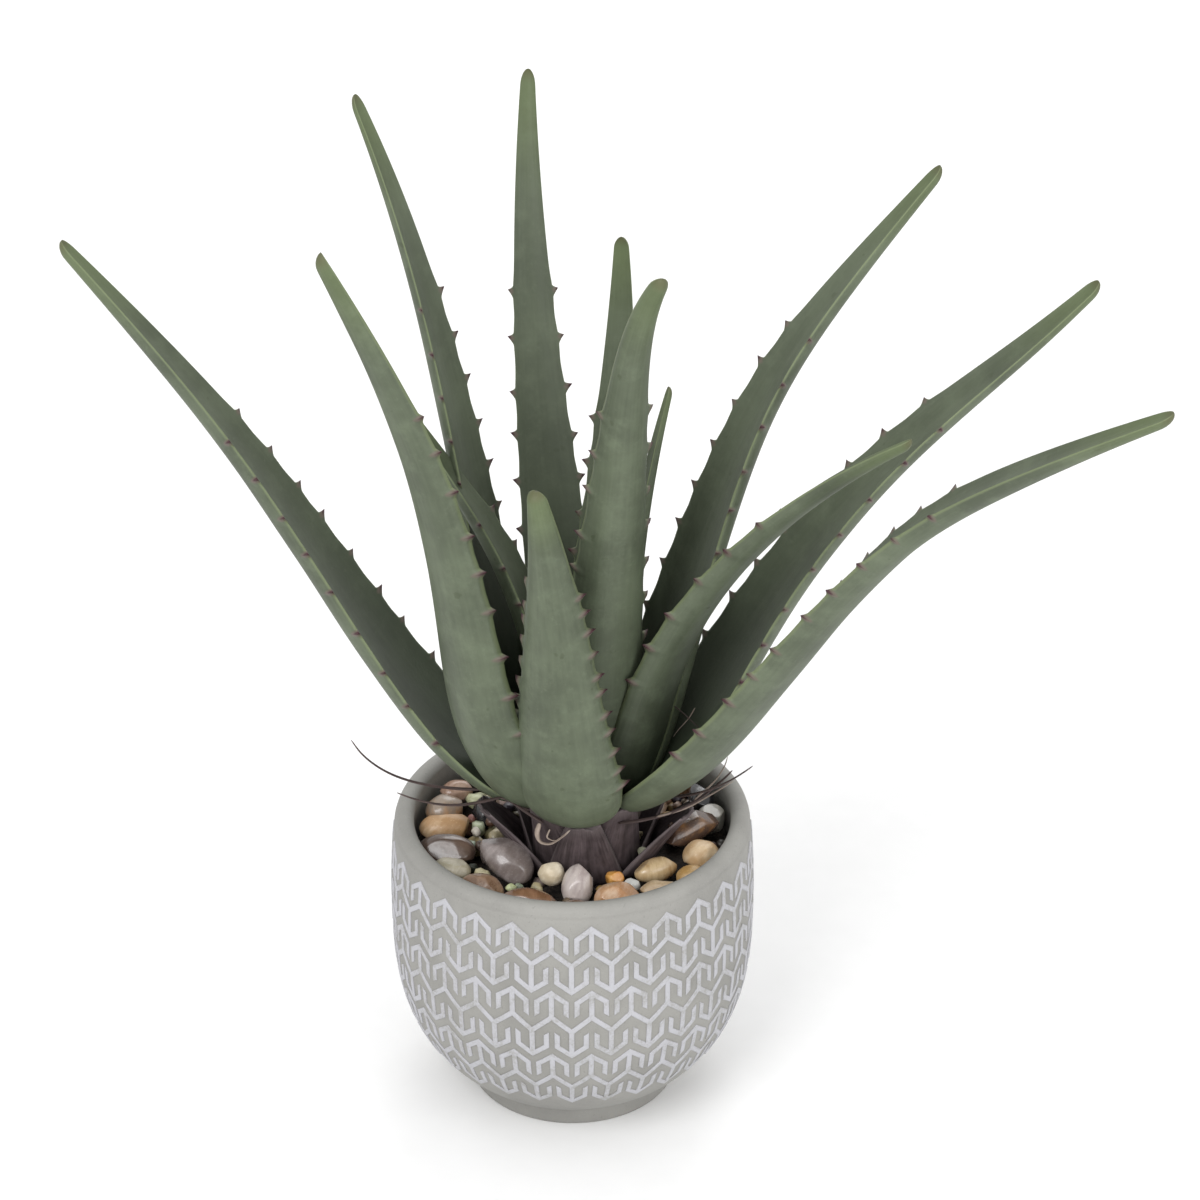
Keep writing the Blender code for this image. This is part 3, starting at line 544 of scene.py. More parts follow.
def leaf_width(t):
    """Share of the full width: a rounded root, an even taper and a blunt tip."""
    if t >= 1:
        return 0.0
    share = 1 - 0.58 * math.exp(-t / 0.026)
    if t > LEAF_FULL_WIDTH_AT:
        taper = ((t - LEAF_FULL_WIDTH_AT) / (1 - LEAF_FULL_WIDTH_AT)) ** 1.05
        share = 1 - (1 - LEAF_TIP_WIDTH) * taper
    nose = min((1 - t) / LEAF_NOSE, 1.0)
    heel = min(t / LEAF_HEEL, 1.0)
    return share * math.sqrt(1 - (1 - nose) ** 2) * math.sqrt(1 - (1 - heel) ** 2 * 0.96)


def leaf_section():
    """Points round the section: the full rounded outer face, then the hollow inner one."""
    outer = [(math.cos(math.pi * i / 16), -math.sin(math.pi * i / 16), 0) for i in range(17)]
    inner = [(-math.cos(math.pi * i / 12), 0.0, 1) for i in range(1, 12)]
    return outer + inner


def ring_places(length, spots):
    """Distances of a leaf's rings from its root: even, but close together at teeth and ends."""
    places = [RING_STEP * i for i in range(int(length / RING_STEP))]
    places = [p for p in places if all(abs(p - s) > 0.0029 for s in spots)]
    places += [s + step for s in spots for step in TOOTH_RINGS]
    places += [length * (1 - LEAF_NOSE * k) for k in (0.7, 0.45, 0.25, 0.12, 0.04, 0)]
    places += [length * LEAF_HEEL * k for k in (0.04, 0.15, 0.35, 0.65)]
    tidy = []
    for place in sorted(p for p in places if 0 <= p <= length):
        if not tidy or place - tidy[-1] > 0.00012:
            tidy.append(place)
    tidy[-1] = length
    return tidy


def tooth_at(teeth, place):
    """How far one margin stands out at a place: a tooth's own point, and the swelling round it."""
    point = swell = 0.0
    for middle, size in teeth:
        gap = (place - middle) / TOOTH_REACH
        if abs(gap) < 1:
            point = max(point, size * (1 - abs(gap)) ** 1.5)
        swell = max(swell, math.exp(-(gap / 2.6) ** 2))
    return point, swell


def leaf_rings(seed, row):
    """Rings and marks of one leaf, with its margins drawn out into hooked teeth."""
    bearing, leans, length, width, swing, twist, seat, (first, spacing) = row
    count = int((length * LAST_TOOTH - first) / spacing) + 1
    chance = random.Random(seed)
    margins = [[(first + i * spacing + chance.uniform(-0.0016, 0.0016), chance.uniform(0.82, 1.12))
                for i in range(count)] for _ in range(2)]
    places = ring_places(length, [middle for teeth in margins for middle, _ in teeth])
    section = leaf_section()
    narrow = min(1.0, width / 0.028)
    rings, marks = [], []
    shares = [p / length for p in places]
    for t, point, ahead, side, up in path_frames(shares, bearing, leans, length, swing, twist, seat):
        half = width / 2 * leaf_width(t)
        thick = 2 * half * (LEAF_THICKNESS + LEAF_TIP_SWELL * t ** 1.5)
        hollow = LEAF_HOLLOW * min(max((t - 0.01) / 0.12, 0.0), 1.0)
        out = [tooth_at(teeth, t * length) for teeth in margins]
        height = settings().tooth_height * (1 - 0.35 * t) * narrow * 0.93
        ring, row_marks = [], []
        for x, y, inner in section:
            if inner:
                y = -hollow * (1 - x * x)
            ripple = noise.noise(Vector((t * length * 22, x * 1.4 + seed * 3.1, inner * 2.0)))
            spot = point + side * half * x + up * thick * y * (1 + 0.05 * ripple)
            tooth, swell = out[0] if x > 0 else out[1]
            near = max(0.0, (abs(x) - 0.83) / 0.17) ** 2.6
            reach = (tooth * height + 0.0005 * swell) * near
            spot += side * math.copysign(reach, x) + ahead * TOOTH_HOOK * tooth * near + up * reach * 0.5
            ring.append(spot)
            row_marks.append((t, max(0.0, (abs(x) - 0.97) / 0.03), tooth * near, float(inner)))
        rings.append(ring)
        marks.append(row_marks)
    for end in (0, -1):
        rings[end] = [sum(rings[end], Vector()) / len(section)] * len(section)
    return rings, marks


def husk_rings(seed, row):
    """Rings of one dried scale: a thin curved blade with a ragged end."""
    bearing, leans, length, width, seat = row
    arc = [math.pi * i / 14 for i in range(15)]
    rings, marks = [], []
    places = [i / 34 for i in range(35)]
    for t, point, ahead, side, up in path_frames(places, bearing, leans, length, 0, (0, 0), (*seat, 0)):
        share = 0.85 + 0.15 * min(t / 0.14, 1.0) if t < 0.14 else 1 - 0.55 * ((t - 0.14) / 0.86) ** 1.05
        half = width / 2 * share
        thick = 2 * half * (0.26 - 0.06 * t ** 1.5)
        wall = 0.0011 + 0.0008 * (1 - t)
        ring, row_marks = [], []
        for inner in (0, 1):
            for a in (arc if not inner else arc[::-1][1:-1]):
                x, y = math.cos(a), -math.sin(a)
                fray = noise.noise(Vector((x * 4.2, seed * 5.3, 0.4))) * 0.0022 - 0.001 * abs(x) ** 3
                crease = noise.noise(Vector((x * 6.5, seed * 2.7, t * 1.3))) * 0.00045
                depth = thick * y + (wall * (1 - 0.8 * abs(x) ** 4) if inner else 0.0) + crease
                ring.append(point + side * half * x * (1 - 0.02 * inner) + up * depth
                            + ahead * fray * t ** 3)
                row_marks.append((t, max(0.0, (abs(x) - 0.9) / 0.1), 0.0, float(inner)))
        rings.append(ring)
        marks.append(row_marks)
    around = len(rings[0])
    rings.insert(0, [sum(rings[0], Vector()) / around] * around)
    rings.append([sum(rings[-1], Vector()) / around] * around)
    marks.insert(0, marks[0])
    marks.append(marks[-1])
    return rings, marks


def fibre_rings(points, width, depth, taper, sides=8):
    """Rings round a smooth path, thinning to a share of its size and closing at both ends."""
    points = [Vector(p) for p in points]
    count = 10 * (len(points) - 1)
    axes = [[p[k] for p in points] for k in range(3)]
    spots = [Vector([along_curve(axis, i / count) for axis in axes]) for i in range(count + 1)]
    rings, marks = [], []
    for i, spot in enumerate(spots):
        ahead = (spots[min(i + 1, count)] - spots[max(i - 1, 0)]).normalized()
        side = ahead.cross(Vector((0, 0, 1)))
        side = side.normalized() if side.length > 0.05 else Vector((1, 0, 0))
        up = side.cross(ahead)
        t = i / count
        size = (1 - (1 - taper) * t) * math.sqrt(max(0.0, 1 - abs(2 * t - 1) ** 14))
        ring = []
        for k in range(sides):
            a = 2 * math.pi * k / sides
            ring.append(spot + side * math.cos(a) * width / 2 * size + up * math.sin(a) * depth / 2 * size)
        rings.append(ring)
        marks.append([(t, 0.2, 0.0, 0.0)] * sides)
    return rings, marks


def pot_radius(z):
    """The outer wall: a full bowl below the belly, drawn in slightly to the lip."""
    start = FOOT_RADIUS + 0.0015
    if z < BELLY_HEIGHT:
        u = max(0.0, (z - FOOT_HEIGHT) / (BELLY_HEIGHT - FOOT_HEIGHT))
        return start + (POT_RADIUS - start) * (1 - (1 - u) ** 3.3) ** 0.85
    u = (z - BELLY_HEIGHT) / (POT_HEIGHT - BELLY_HEIGHT)
    return POT_RADIUS - (POT_RADIUS - LIP_RADIUS) * u ** 1.6


def turned_rings(profile, around, wobble=0.0):
    """Rings for a turned piece, top to bottom, with an optional unevenness in its surface."""
    rings = []
    for r, z in profile:
        ring = []
        for k in range(around):
            a = 2 * math.pi * k / around
            way = Vector((math.cos(a), math.sin(a), 0))
            rough = noise.noise(Vector((way.x * r, way.y * r, z)) * 30) * wobble if r > 0 else 0.0
            ring.append(way * (r + rough) + Vector((0, 0, z)))
        rings.append(ring)
    return rings


# ---- pieces

def make_pot():
    """The pot's body: foot, bowl, a fine line under the lip, rounded rim and inside."""
    edge = POT_WALL / 2
    lip = POT_HEIGHT - edge
    profile = [(0, POT_FLOOR), (0.03, POT_FLOOR)]
    low = POT_FLOOR + 0.008
    inner = [low + (lip - low) * (i / 26) ** 1.4 for i in range(26)]
    profile += [(pot_radius(z) - POT_WALL, z) for z in inner]
    for i in range(15):
        a = math.pi * (1 - i / 14)
        profile.append((LIP_RADIUS - edge + edge * math.cos(a), lip + edge * math.sin(a)))
    line = lip - 0.0012
    profile += [(pot_radius(line + 0.0006), line + 0.0006), (pot_radius(line) - 0.0003, line),
                (pot_radius(line - 0.0006), line - 0.0006)]
    top = line - 0.002
    outer = [FOOT_HEIGHT + (top - FOOT_HEIGHT) * (i / 60) ** 1.5 for i in range(61)]
    profile += [(pot_radius(z), z) for z in reversed(outer)]
    profile += [(FOOT_RADIUS + 0.0006, FOOT_HEIGHT - 0.0004), (FOOT_RADIUS, FOOT_HEIGHT - 0.0012),
                (FOOT_RADIUS, 0.0012), (FOOT_RADIUS - 0.0004, 0.0003), (FOOT_RADIUS - 0.0012, 0), (0, 0)]
    obj = skin("pot_body", turned_rings(profile, 144, 0.00012), pot_finish())
    settle(obj, "pot")


def arrow(height, foot):
    """Right half of an upright arrow standing on a band, from its foot to its tip, as (x, z) points."""
    half = STROKE / 2
    rise = ARROW_DROP / ARROW_REACH
    under = height - STROKE * math.sqrt(1 + rise * rise)
    inside = ARROW_REACH - half
    outside = ARROW_REACH + half
    hem = height - ARROW_DROP - ARROW_LEG
    slant = rise * STROKE * 0.5
    return [
        (half, foot), (half, under - rise * half), (inside, under - rise * inside), (inside, hem + slant),
        (outside, hem - slant), (outside, height - rise * outside), (0, height)]


def unit_outline(peak, valley, tip_up, tip_down):
    """One repeat of the pattern, flat: a zigzag, an arrow up from its peak and one down from its valley."""
    pitch = PATTERN_PITCH
    slope = (peak - valley) / (pitch / 2)
    band = STROKE * math.sqrt(1 + slope * slope) / 2
    up = arrow(tip_up - peak, band - slope * STROKE / 2)
    down = arrow(valley - tip_down, band - slope * STROKE / 2)
    middle = (peak + valley) / 2
    start, end = -pitch / 4, pitch * 3 / 4
    top = [(start, middle + band)]
    top += [(-x, peak + z) for x, z in up[:-1]] + [(x, peak + z) for x, z in reversed(up)]
    top += [(pitch / 2, valley + band), (end, middle + band)]
    low = [(end, middle - band)]
    low += [(pitch / 2 + x, valley - z) for x, z in down[:-1]]
    low += [(pitch / 2 - x, valley - z) for x, z in reversed(down)]
    low += [(0, peak - band), (start, middle - band)]
    return top + low


def cut_flat(bm, place, way, clear=0):
    """Cut a flat mesh along a plane, and drop what lies before it (-1) or past it (1)."""
    geometry = bm.verts[:] + bm.edges[:] + bm.faces[:]
    bmesh.ops.bisect_plane(bm, geom=geometry, plane_co=place, plane_no=way, dist=0.0000005,
                           clear_inner=clear < 0, clear_outer=clear > 0)


def make_pattern():
    """Three rows of raised linked arrows round the bowl."""
    pitch = PATTERN_PITCH
    relief = settings().relief
    unit = bmesh.new()
    for row in PATTERN_ROWS:
        outline = unit_outline(*row)
        for number in (-1, 0, 1):
            unit.faces.new([unit.verts.new((x + number * pitch, 0, z)) for x, z in outline])
    bmesh.ops.remove_doubles(unit, verts=unit.verts, dist=0.000005)
    bmesh.ops.recalc_face_normals(unit, faces=unit.faces)
    for face in unit.faces:
        if face.normal.y > 0:
            face.normal_flip()
    grown = bmesh.ops.extrude_face_region(unit, geom=unit.faces[:])["geom"]
    top = [f for f in grown if isinstance(f, bmesh.types.BMFace)]
    bmesh.ops.translate(unit, verts=[v for v in grown if isinstance(v, bmesh.types.BMVert)], vec=(0, -1, 0))
    bmesh.ops.inset_region(unit, faces=top, thickness=0.0003, use_boundary=True, use_even_offset=True)
    for face in top:
        for vert in face.verts:
            vert.co.y = -2
    bmesh.ops.triangulate(unit, faces=unit.faces, ngon_method="EAR_CLIP")
    for i in range(11):
        cut_flat(unit, (pitch * i / 10, 0, 0), (1, 0, 0), (i == 10) - (i == 0))
    for i in range(1, 32):
        cut_flat(unit, (0, 0, 0.022 + 0.0032 * i), (0, 0, 1))
    unit.verts.index_update()
    shape = [v.co.copy() for v in unit.verts]
    faces = [[v.index for v in f.verts] for f in unit.faces]
    unit.free()
    lift = (-0.0004, relief * 0.6, relief)    # sunk in the wall, edge of the slope, face
    points, all_faces = [], []
    for number in range(PATTERN_UNITS):
        start = len(points)
        for p in shape:
            turn = (p.x / pitch + number + 0.5) * 2 * math.pi / PATTERN_UNITS - math.pi / 2
            radius = pot_radius(p.z) + lift[round(-p.y)]
            points.append((radius * math.cos(turn), radius * math.sin(turn), p.z))
        all_faces += [[start + i for i in face] for face in faces]
    clear_selection()
    bpy.ops.mesh.primitive_plane_add(size=1.0)
    obj = bpy.context.object
    refill(obj, "pot_pattern", points, all_faces)
    bpy.ops.object.mode_set(mode="EDIT")
    bpy.ops.mesh.select_all(action="SELECT")
    bpy.ops.mesh.remove_doubles(threshold=0.000005)
    bpy.ops.mesh.normals_make_consistent(inside=False)
    bpy.ops.object.mode_set(mode="OBJECT")
    bpy.ops.object.shade_smooth_by_angle(angle=math.radians(24))
    obj.data.materials.clear()
    obj.data.materials.append(wash_finish())
    settle(obj, None)


def make_soil():
    """The soil's lumpy plug."""
    profile = [(0, SOIL_TOP - 0.0006)] + [(0.003 * i, SOIL_TOP - 0.0006) for i in range(1, 21)]
    profile += [(0.0628, SOIL_TOP - 0.001)]
    sides = (0.1, 0.085, 0.07, 0.055, 0.04, 0.03, 0.022, 0.018)
    profile += [(pot_radius(z) - POT_WALL - 0.0005, z) for z in sides]
    profile += [(0.03, POT_FLOOR + 0.0004), (0, POT_FLOOR + 0.0004)]
    rings = turned_rings(profile, 96)
    for ring in rings[:21]:
        for p in ring:
            p.z += 0.0011 * noise.noise(p * 160) - 0.0006
    for end in (0, -1):
        rings[end] = [Vector((0, 0, rings[end][0].z))] * len(rings[end])
    settle(skin("soil_mix", rings, soil_finish()), "soil")


def make_stem():
    """The short woody stem under the crown of leaves."""
    profile = [(0, 0.1495), (0.007, 0.148), (0.0148, 0.1428), (0.0207, 0.1358), (0.0225, 0.131),
               (0.021, 0.126), (0.018, 0.119), (0.015, 0.1142), (0.0148, 0.107), (0.014, 0.092),
               (0.0127, 0.083), (0.009, 0.0775), (0, 0.077)]
    fine = []
    for (r0, z0), (r1, z1) in zip(profile, profile[1:]):
        fine += [(r0 + (r1 - r0) * k / 4, z0 + (z1 - z0) * k / 4) for k in range(4)]
    fine.append(profile[-1])
    rings = turned_rings(fine, 60)
    for ring, (radius, _) in zip(rings, fine):
        for p in ring:
            p += ROSETTE
            if radius > 0:
                p.x += 0.0004 * noise.noise(p * 240)
    obj = skin("stem_core", rings, husk_finish(
        "dry_stem", (0.035, 0.026, 0.022), (0.11, 0.08, 0.062), (0.2, 0.16, 0.12), 70.0))
    settle(obj, "stem")


def make_leaves():
    """Every leaf as one smooth skin with its own teeth."""
    finish = leaf_finish()
    for seed, (node, row) in enumerate(LEAVES.items()):
        rings, marks = leaf_rings(seed, row)
        settle(skin("aloe_" + node, rings, finish, marks), node)


def make_husks():
    """The dried scales that wrap the stem."""
    finish = husk_finish("husk", (0.04, 0.029, 0.03), (0.105, 0.08, 0.084), (0.2, 0.165, 0.165), 34.0)
    for seed, (node, row) in enumerate(SCALES.items()):
        rings, marks = husk_rings(seed, row)
        settle(skin("dried_" + node, rings, finish, marks), node)


def make_fibres():
    """The long dried fibres, and the small frayed ends about the base."""
    dark = husk_finish("dark_fibre", (0.04, 0.026, 0.024), (0.095, 0.066, 0.062), (0.2, 0.15, 0.14), 4.0)
    pale = husk_finish("pale_fibre", (0.2, 0.155, 0.125), (0.36, 0.29, 0.245), (0.52, 0.45, 0.39), 5.0)
    for node, (bearing, leans, length, swing, seat) in STRANDS.items():
        places = [i / 8 for i in range(9)]
        frames = path_frames(places, bearing, leans, length, swing, (0, 0), (*seat, 0))
        rings, marks = fibre_rings([point for _, point, *_ in frames], 0.0021, 0.001, 0.5)
        settle(skin("fibre_" + node, rings, dark, marks), node)
    # Finish, width, depth, and the points of its path in millimetres
    small = {
        "frayed_curl": (pale, 0.0023, 0.0008, (
            (-12.5, -35, 142), (-13.5, -37.5, 138.5), (-12, -39, 135.5), (-8, -39.2, 135),
            (-3.5, -38.5, 137.8), (-0.5, -37, 140))),
        "frayed_curl_inner": (pale, 0.0009, 0.0005, (
            (-8.5, -36.5, 140), (-9.5, -38.2, 137.2), (-6, -38.8, 136.2), (-2, -37.5, 138.8))),
        "cross_fibre_a": (dark, 0.0007, 0.0005, (
            (37, -6, 180), (42, -6.5, 176.5), (48, -7, 170.5), (52, -8, 166))),
        "cross_fibre_b": (pale, 0.0006, 0.0005, (
            (48.5, -6, 177), (46, -6, 172), (42, -6.5, 167), (40, -7, 164))),
        "fibre_root_upper": (dark, 0.0022, 0.0011, (
            (-16, -22.5, 139.5), (-24, -17.5, 140.5), (-30, -13.5, 141.2), (-35, -11, 142))),
        "fibre_root_lower": (dark, 0.0022, 0.0011, (
            (-11, -30, 138.5), (-18, -26.5, 141.5), (-23.5, -22.5, 143.3), (-28.5, -19.8, 144))),
        "fibre_right_long": (dark, 0.0024, 0.001, (
            (18, -28.5, 137.5), (28, -27, 138), (39, -24, 139.5), (50, -19.5, 143), (59, -15, 148.5),
            (63.5, -12.5, 152))),
        "fibre_right_pale": (pale, 0.0013, 0.0008, (
            (33, -26.2, 138.8), (45, -22.2, 140.5), (56, -17.5, 144.5), (64, -14, 148))),
        "fibre_right_end": (pale, 0.001, 0.0006, (
            (48, -20, 142.5), (56, -15, 148), (60, -12, 153), (61.5, -10.5, 157))),
    }
    for name, (finish, width, depth, points) in small.items():
        rings, marks = fibre_rings([[c / 1000 for c in p] for p in points], width, depth, 0.4)
        settle(skin(name, rings, finish, marks), None)


def smooth_copy(node):
    """A pebble's own solid, merged, rounded and made the active object."""
    obj = bpy.data.objects.new("pebble_" + node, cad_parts[node].data.copy())
    bpy.context.scene.collection.objects.link(obj)
    take(obj)
    bpy.ops.object.mode_set(mode="EDIT")
    bpy.ops.mesh.select_all(action="SELECT")
    bpy.ops.mesh.remove_doubles(threshold=0.00002)
    bpy.ops.mesh.tris_convert_to_quads(face_threshold=math.radians(60), shape_threshold=math.radians(60))
    bpy.ops.object.mode_set(mode="OBJECT")
    smooth = obj.modifiers.new("round", "SUBSURF")
    smooth.levels = 3
    smooth.render_levels = 3
    bpy.ops.object.modifier_apply(modifier="round")
    return obj


def wear_flats(obj, low, high, seed):
    """Wear a few soft flats on a pebble, as tumbling does."""
    chance = random.Random(seed * 7 + 3)
    centre = (low + high) / 2
    half = (high - low) / 2
    flats = []
    for _ in range(9):
        way = Vector((chance.gauss(0, 1), chance.gauss(0, 1), chance.gauss(0, 1))).normalized()
        flats.append((way, chance.uniform(0.66, 0.9)))
    for vert in obj.data.vertices:
        p = Vector([(vert.co[k] - centre[k]) / half[k] for k in range(3)])
        for way, depth in flats:
            over = p.dot(way) - depth
            if over > 0:
                p -= way * over * 0.86
        vert.co = centre + Vector([p[k] * half[k] for k in range(3)])


def dent(obj, low, high, seed, rough):
    """Push a pebble in and out a little, then bring it back to its own box."""
    centre = (low + high) / 2
    size = (high - low).length
    for vert in obj.data.vertices:
        p = (vert.co - centre) / size
        broad = noise.noise(p * 3.1 + Vector((seed * 4.3, 0, 0)))
        fine = noise.noise(p * 8 + Vector((0, seed * 2.1, 0)))
        vert.co = centre + (vert.co - centre) * (1 + rough * (broad + 0.4 * fine))
    axes = list(zip(*(v.co for v in obj.data.vertices)))
    start = [min(axis) for axis in axes]
    grow = [(high[k] - low[k]) / (max(axes[k]) - start[k]) for k in range(3)]
    for vert in obj.data.vertices:
        vert.co = [low[k] + (vert.co[k] - start[k]) * grow[k] for k in range(3)]


def make_pebbles():
    """The large pebbles, each smoothed from its own solid and given its own finish."""
    for seed, (node, (base, second, share, roughness)) in enumerate(STONES.items()):
        low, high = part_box(node)
        obj = smooth_copy(node)
        wear_flats(obj, low, high, seed)
        dent(obj, low, high, seed, 0.045 if roughness < 0.3 else 0.095)
        coat(obj, stone_finish(node + "_skin", base, second, share, roughness))
        settle(obj, node)


def solids_tree():
    """One search tree over the frame's pebbles, scales and stem."""
    points, faces = [], []
    for node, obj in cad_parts.items():
        if node.startswith(("stone_", "scale_")) or node == "stem":
            start = len(points)
            points += [v.co.copy() for v in obj.data.vertices]
            faces += [[start + i for i in p.vertices] for p in obj.data.polygons]
    return BVHTree.FromPolygons(points, faces)


def dropped_stones(chance):
    """Places and sizes of small stones, each let down until something stops it."""
    tree = solids_tree()
    tries = settings().gravel_count
    rest = []
    for number in range(tries):
        size = chance.uniform(0.004, 0.0062) if number / tries < 0.5 else chance.uniform(0.0021, 0.0042)
        angle = chance.uniform(0, 2 * math.pi)
        out = math.sqrt(chance.uniform(0.025 ** 2, 0.0622 ** 2))
        x, y = out * math.cos(angle), out * math.sin(angle)
        if out + size > pot_radius(0.115) - POT_WALL - 0.0004:
            continue
        near = [(p, r) for p, r in rest if (p.x - x) ** 2 + (p.y - y) ** 2 < (r + size) ** 2]
        spot = Vector((x, y, 0.121))
        free = False
        while spot.z > SOIL_TOP - 0.0006 + size * 0.75:
            hit, way, _, gap = tree.find_nearest(spot)
            if gap < size * 0.78 or (spot - hit).dot(way) < 0:
                break
            if any((spot - p).length < (r + size) * 0.8 for p, r in near):
                break
            free = True
            spot.z -= 0.0004
        if free and spot.z + size < 0.1185:
            rest.append((spot, size))
    return rest


def make_gravel():
    """Small stones dropped between the pebbles, as one piece."""
    chance = random.Random(11)
    rest = dropped_stones(chance)
    clear_selection()
    bpy.ops.mesh.primitive_ico_sphere_add(subdivisions=2, radius=1.0)
    obj = bpy.context.object
    shape = [v.co.copy() for v in obj.data.vertices]
    faces = [tuple(p.vertices) for p in obj.data.polygons]
    points, all_faces, tints = [], [], []
    for number, (spot, size) in enumerate(rest):
        angle = chance.uniform(0, 6.28)
        axis = Vector((chance.random(), chance.random(), chance.random() + 0.1))
        turn = Matrix.Rotation(angle, 3, axis)
        stretch = Vector((chance.uniform(0.8, 1.0), chance.uniform(0.6, 0.9), chance.uniform(0.55, 0.8)))
        start = len(points)
        tint = [c * chance.uniform(0.8, 1.2) for c in chance.choice(GRAVEL_TINTS)]
        for p in shape:
            q = p * (1 + 0.42 * noise.noise(p * 1.5 + Vector((number * 3.7, 0, 0))))
            points.append(spot + turn @ Vector((q.x * stretch.x, q.y * stretch.y, q.z * stretch.z)) * size)
            tints += (*tint, 1.0)
        all_faces += [tuple(start + i for i in face) for face in faces]
    refill(obj, "gravel", points, all_faces)
    stored = obj.data.attributes.new("tint", "FLOAT_COLOR", "POINT")
    stored.data.foreach_set("color", tints)
    coat(obj, gravel_finish())
    settle(obj, None)


def area_light(name, place, target, size, power):
    data = bpy.data.lights.new(name, "AREA")
    data.shape = "DISK"
    data.size = size
    data.energy = power
    lamp = bpy.data.objects.new(name, data)
    bpy.context.scene.collection.objects.link(lamp)
    lamp.location = place
    lamp.rotation_euler = (Vector(place) - Vector(target)).to_track_quat("Z", "Y").to_euler()


def make_stage():
    """Pale floor, soft studio lights and the camera."""
    clear_selection()
    bpy.ops.mesh.primitive_plane_add(size=14.0, location=(0, 0, 0))
    floor = bpy.context.object
    floor.name = "floor"
    floor.data.materials.append(floor_finish())
    scene = bpy.context.scene
    world = bpy.data.worlds.new("studio")
    scene.world = world
    world.use_nodes = True
    background = world.node_tree.nodes["Background"]
    background.inputs["Color"].default_value = (1, 1, 1, 1)
    background.inputs["Strength"].default_value = 0.85
    middle = (0, 0, 0.2)
    area_light("key", (-0.9, -1.5, 1.7), middle, 1.3, 26.0)
    area_light("fill", (1.4, -1.2, 0.9), middle, 1.5, 12.0)
    area_light("back", (0.3, 1.5, 1.5), middle, 1.2, 10.0)
    scene.view_settings.view_transform = "Standard"
    raised = math.radians(30.4)
    back = Vector((0, -math.cos(raised), math.sin(raised)))
    data = bpy.data.cameras.new("view")
    data.sensor_width = 36.0
    data.lens = 123.5
    data.clip_start = 0.05
    camera = bpy.data.objects.new("view", data)
    scene.collection.objects.link(camera)
    camera.location = Vector((0.0111, 0, 0.2225)) + back * 1.6
    camera.rotation_euler = back.to_track_quat("Z", "Y").to_euler()
    scene.camera = camera


# ---- operators

class ALOE_OT_pot(bpy.types.Operator):
    """Make the pot's body"""
    bl_idname = "aloe.pot"
    bl_label = "Pot"

    def execute(self, context):
        make_pot()
        return {"FINISHED"}


class ALOE_OT_pattern(bpy.types.Operator):
    """Make the raised arrows round the pot"""
    bl_idname = "aloe.pattern"
    bl_label = "Pot pattern"

    def execute(self, context):
        make_pattern()
        return {"FINISHED"}


class ALOE_OT_soil(bpy.types.Operator):
    """Make the potting mix"""
    bl_idname = "aloe.soil"
    bl_label = "Soil"

    def execute(self, context):
        make_soil()
        return {"FINISHED"}


class ALOE_OT_stem(bpy.types.Operator):
    """Make the stem"""
    bl_idname = "aloe.stem"
    bl_label = "Stem"

    def execute(self, context):
        make_stem()
        return {"FINISHED"}


class ALOE_OT_leaves(bpy.types.Operator):
    """Make the toothed leaves"""
    bl_idname = "aloe.leaves"
    bl_label = "Leaves"

    def execute(self, context):
        make_leaves()
        return {"FINISHED"}


class ALOE_OT_husks(bpy.types.Operator):
    """Make the dried scales round the stem"""
    bl_idname = "aloe.husks"
    bl_label = "Dried scales"

    def execute(self, context):
        make_husks()
        return {"FINISHED"}


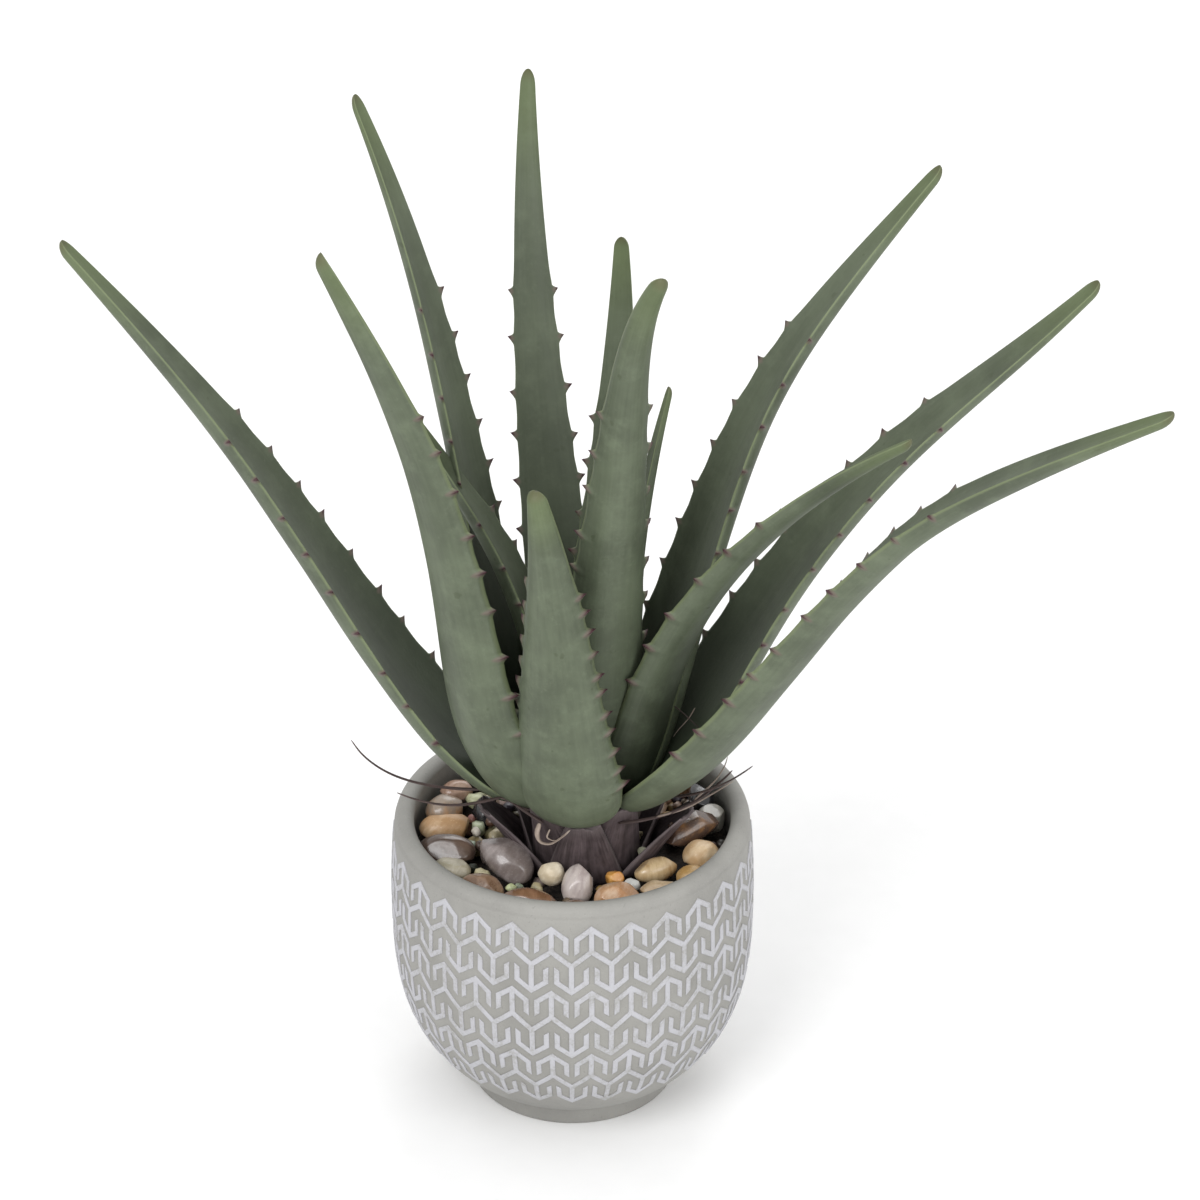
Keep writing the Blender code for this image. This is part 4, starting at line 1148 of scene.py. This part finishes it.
class ALOE_OT_fibres(bpy.types.Operator):
    """Make the dried fibres"""
    bl_idname = "aloe.fibres"
    bl_label = "Dried fibres"

    def execute(self, context):
        make_fibres()
        return {"FINISHED"}


class ALOE_OT_pebbles(bpy.types.Operator):
    """Make the large pebbles"""
    bl_idname = "aloe.pebbles"
    bl_label = "Pebbles"

    def execute(self, context):
        make_pebbles()
        return {"FINISHED"}


class ALOE_OT_gravel(bpy.types.Operator):
    """Drop the small stones between the pebbles"""
    bl_idname = "aloe.gravel"
    bl_label = "Gravel"

    def execute(self, context):
        make_gravel()
        return {"FINISHED"}


class ALOE_OT_stage(bpy.types.Operator):
    """Make the floor, lights and camera"""
    bl_idname = "aloe.stage"
    bl_label = "Stage"

    def execute(self, context):
        make_stage()
        return {"FINISHED"}


class ALOE_PT_panel(bpy.types.Panel):
    """Sizes, colours and the steps in order"""
    bl_idname = "ALOE_PT_panel"
    bl_label = "Potted aloe"
    bl_space_type = "VIEW_3D"
    bl_region_type = "UI"
    bl_category = "Aloe"

    def draw(self, context):
        for name in AloeSettings.__annotations__:
            self.layout.prop(context.scene.aloe_settings, name)
        for step in STEPS:
            self.layout.operator(step.bl_idname)


STEPS = (ALOE_OT_pot, ALOE_OT_pattern, ALOE_OT_soil, ALOE_OT_stem, ALOE_OT_leaves, ALOE_OT_husks,
         ALOE_OT_fibres, ALOE_OT_pebbles, ALOE_OT_gravel, ALOE_OT_stage)


def register():
    for cls in (AloeSettings, *STEPS, ALOE_PT_panel):
        bpy.utils.register_class(cls)
    bpy.types.Scene.aloe_settings = bpy.props.PointerProperty(type=AloeSettings)


def unregister():
    del bpy.types.Scene.aloe_settings
    for cls in reversed((AloeSettings, *STEPS, ALOE_PT_panel)):
        bpy.utils.unregister_class(cls)


def main():
    register()
    bpy.ops.aloe.pot()
    bpy.ops.aloe.pattern()
    bpy.ops.aloe.soil()
    bpy.ops.aloe.stem()
    bpy.ops.aloe.leaves()
    bpy.ops.aloe.husks()
    bpy.ops.aloe.fibres()
    bpy.ops.aloe.pebbles()
    bpy.ops.aloe.gravel()
    bpy.ops.aloe.stage()


if __name__ == "__main__":
    main()
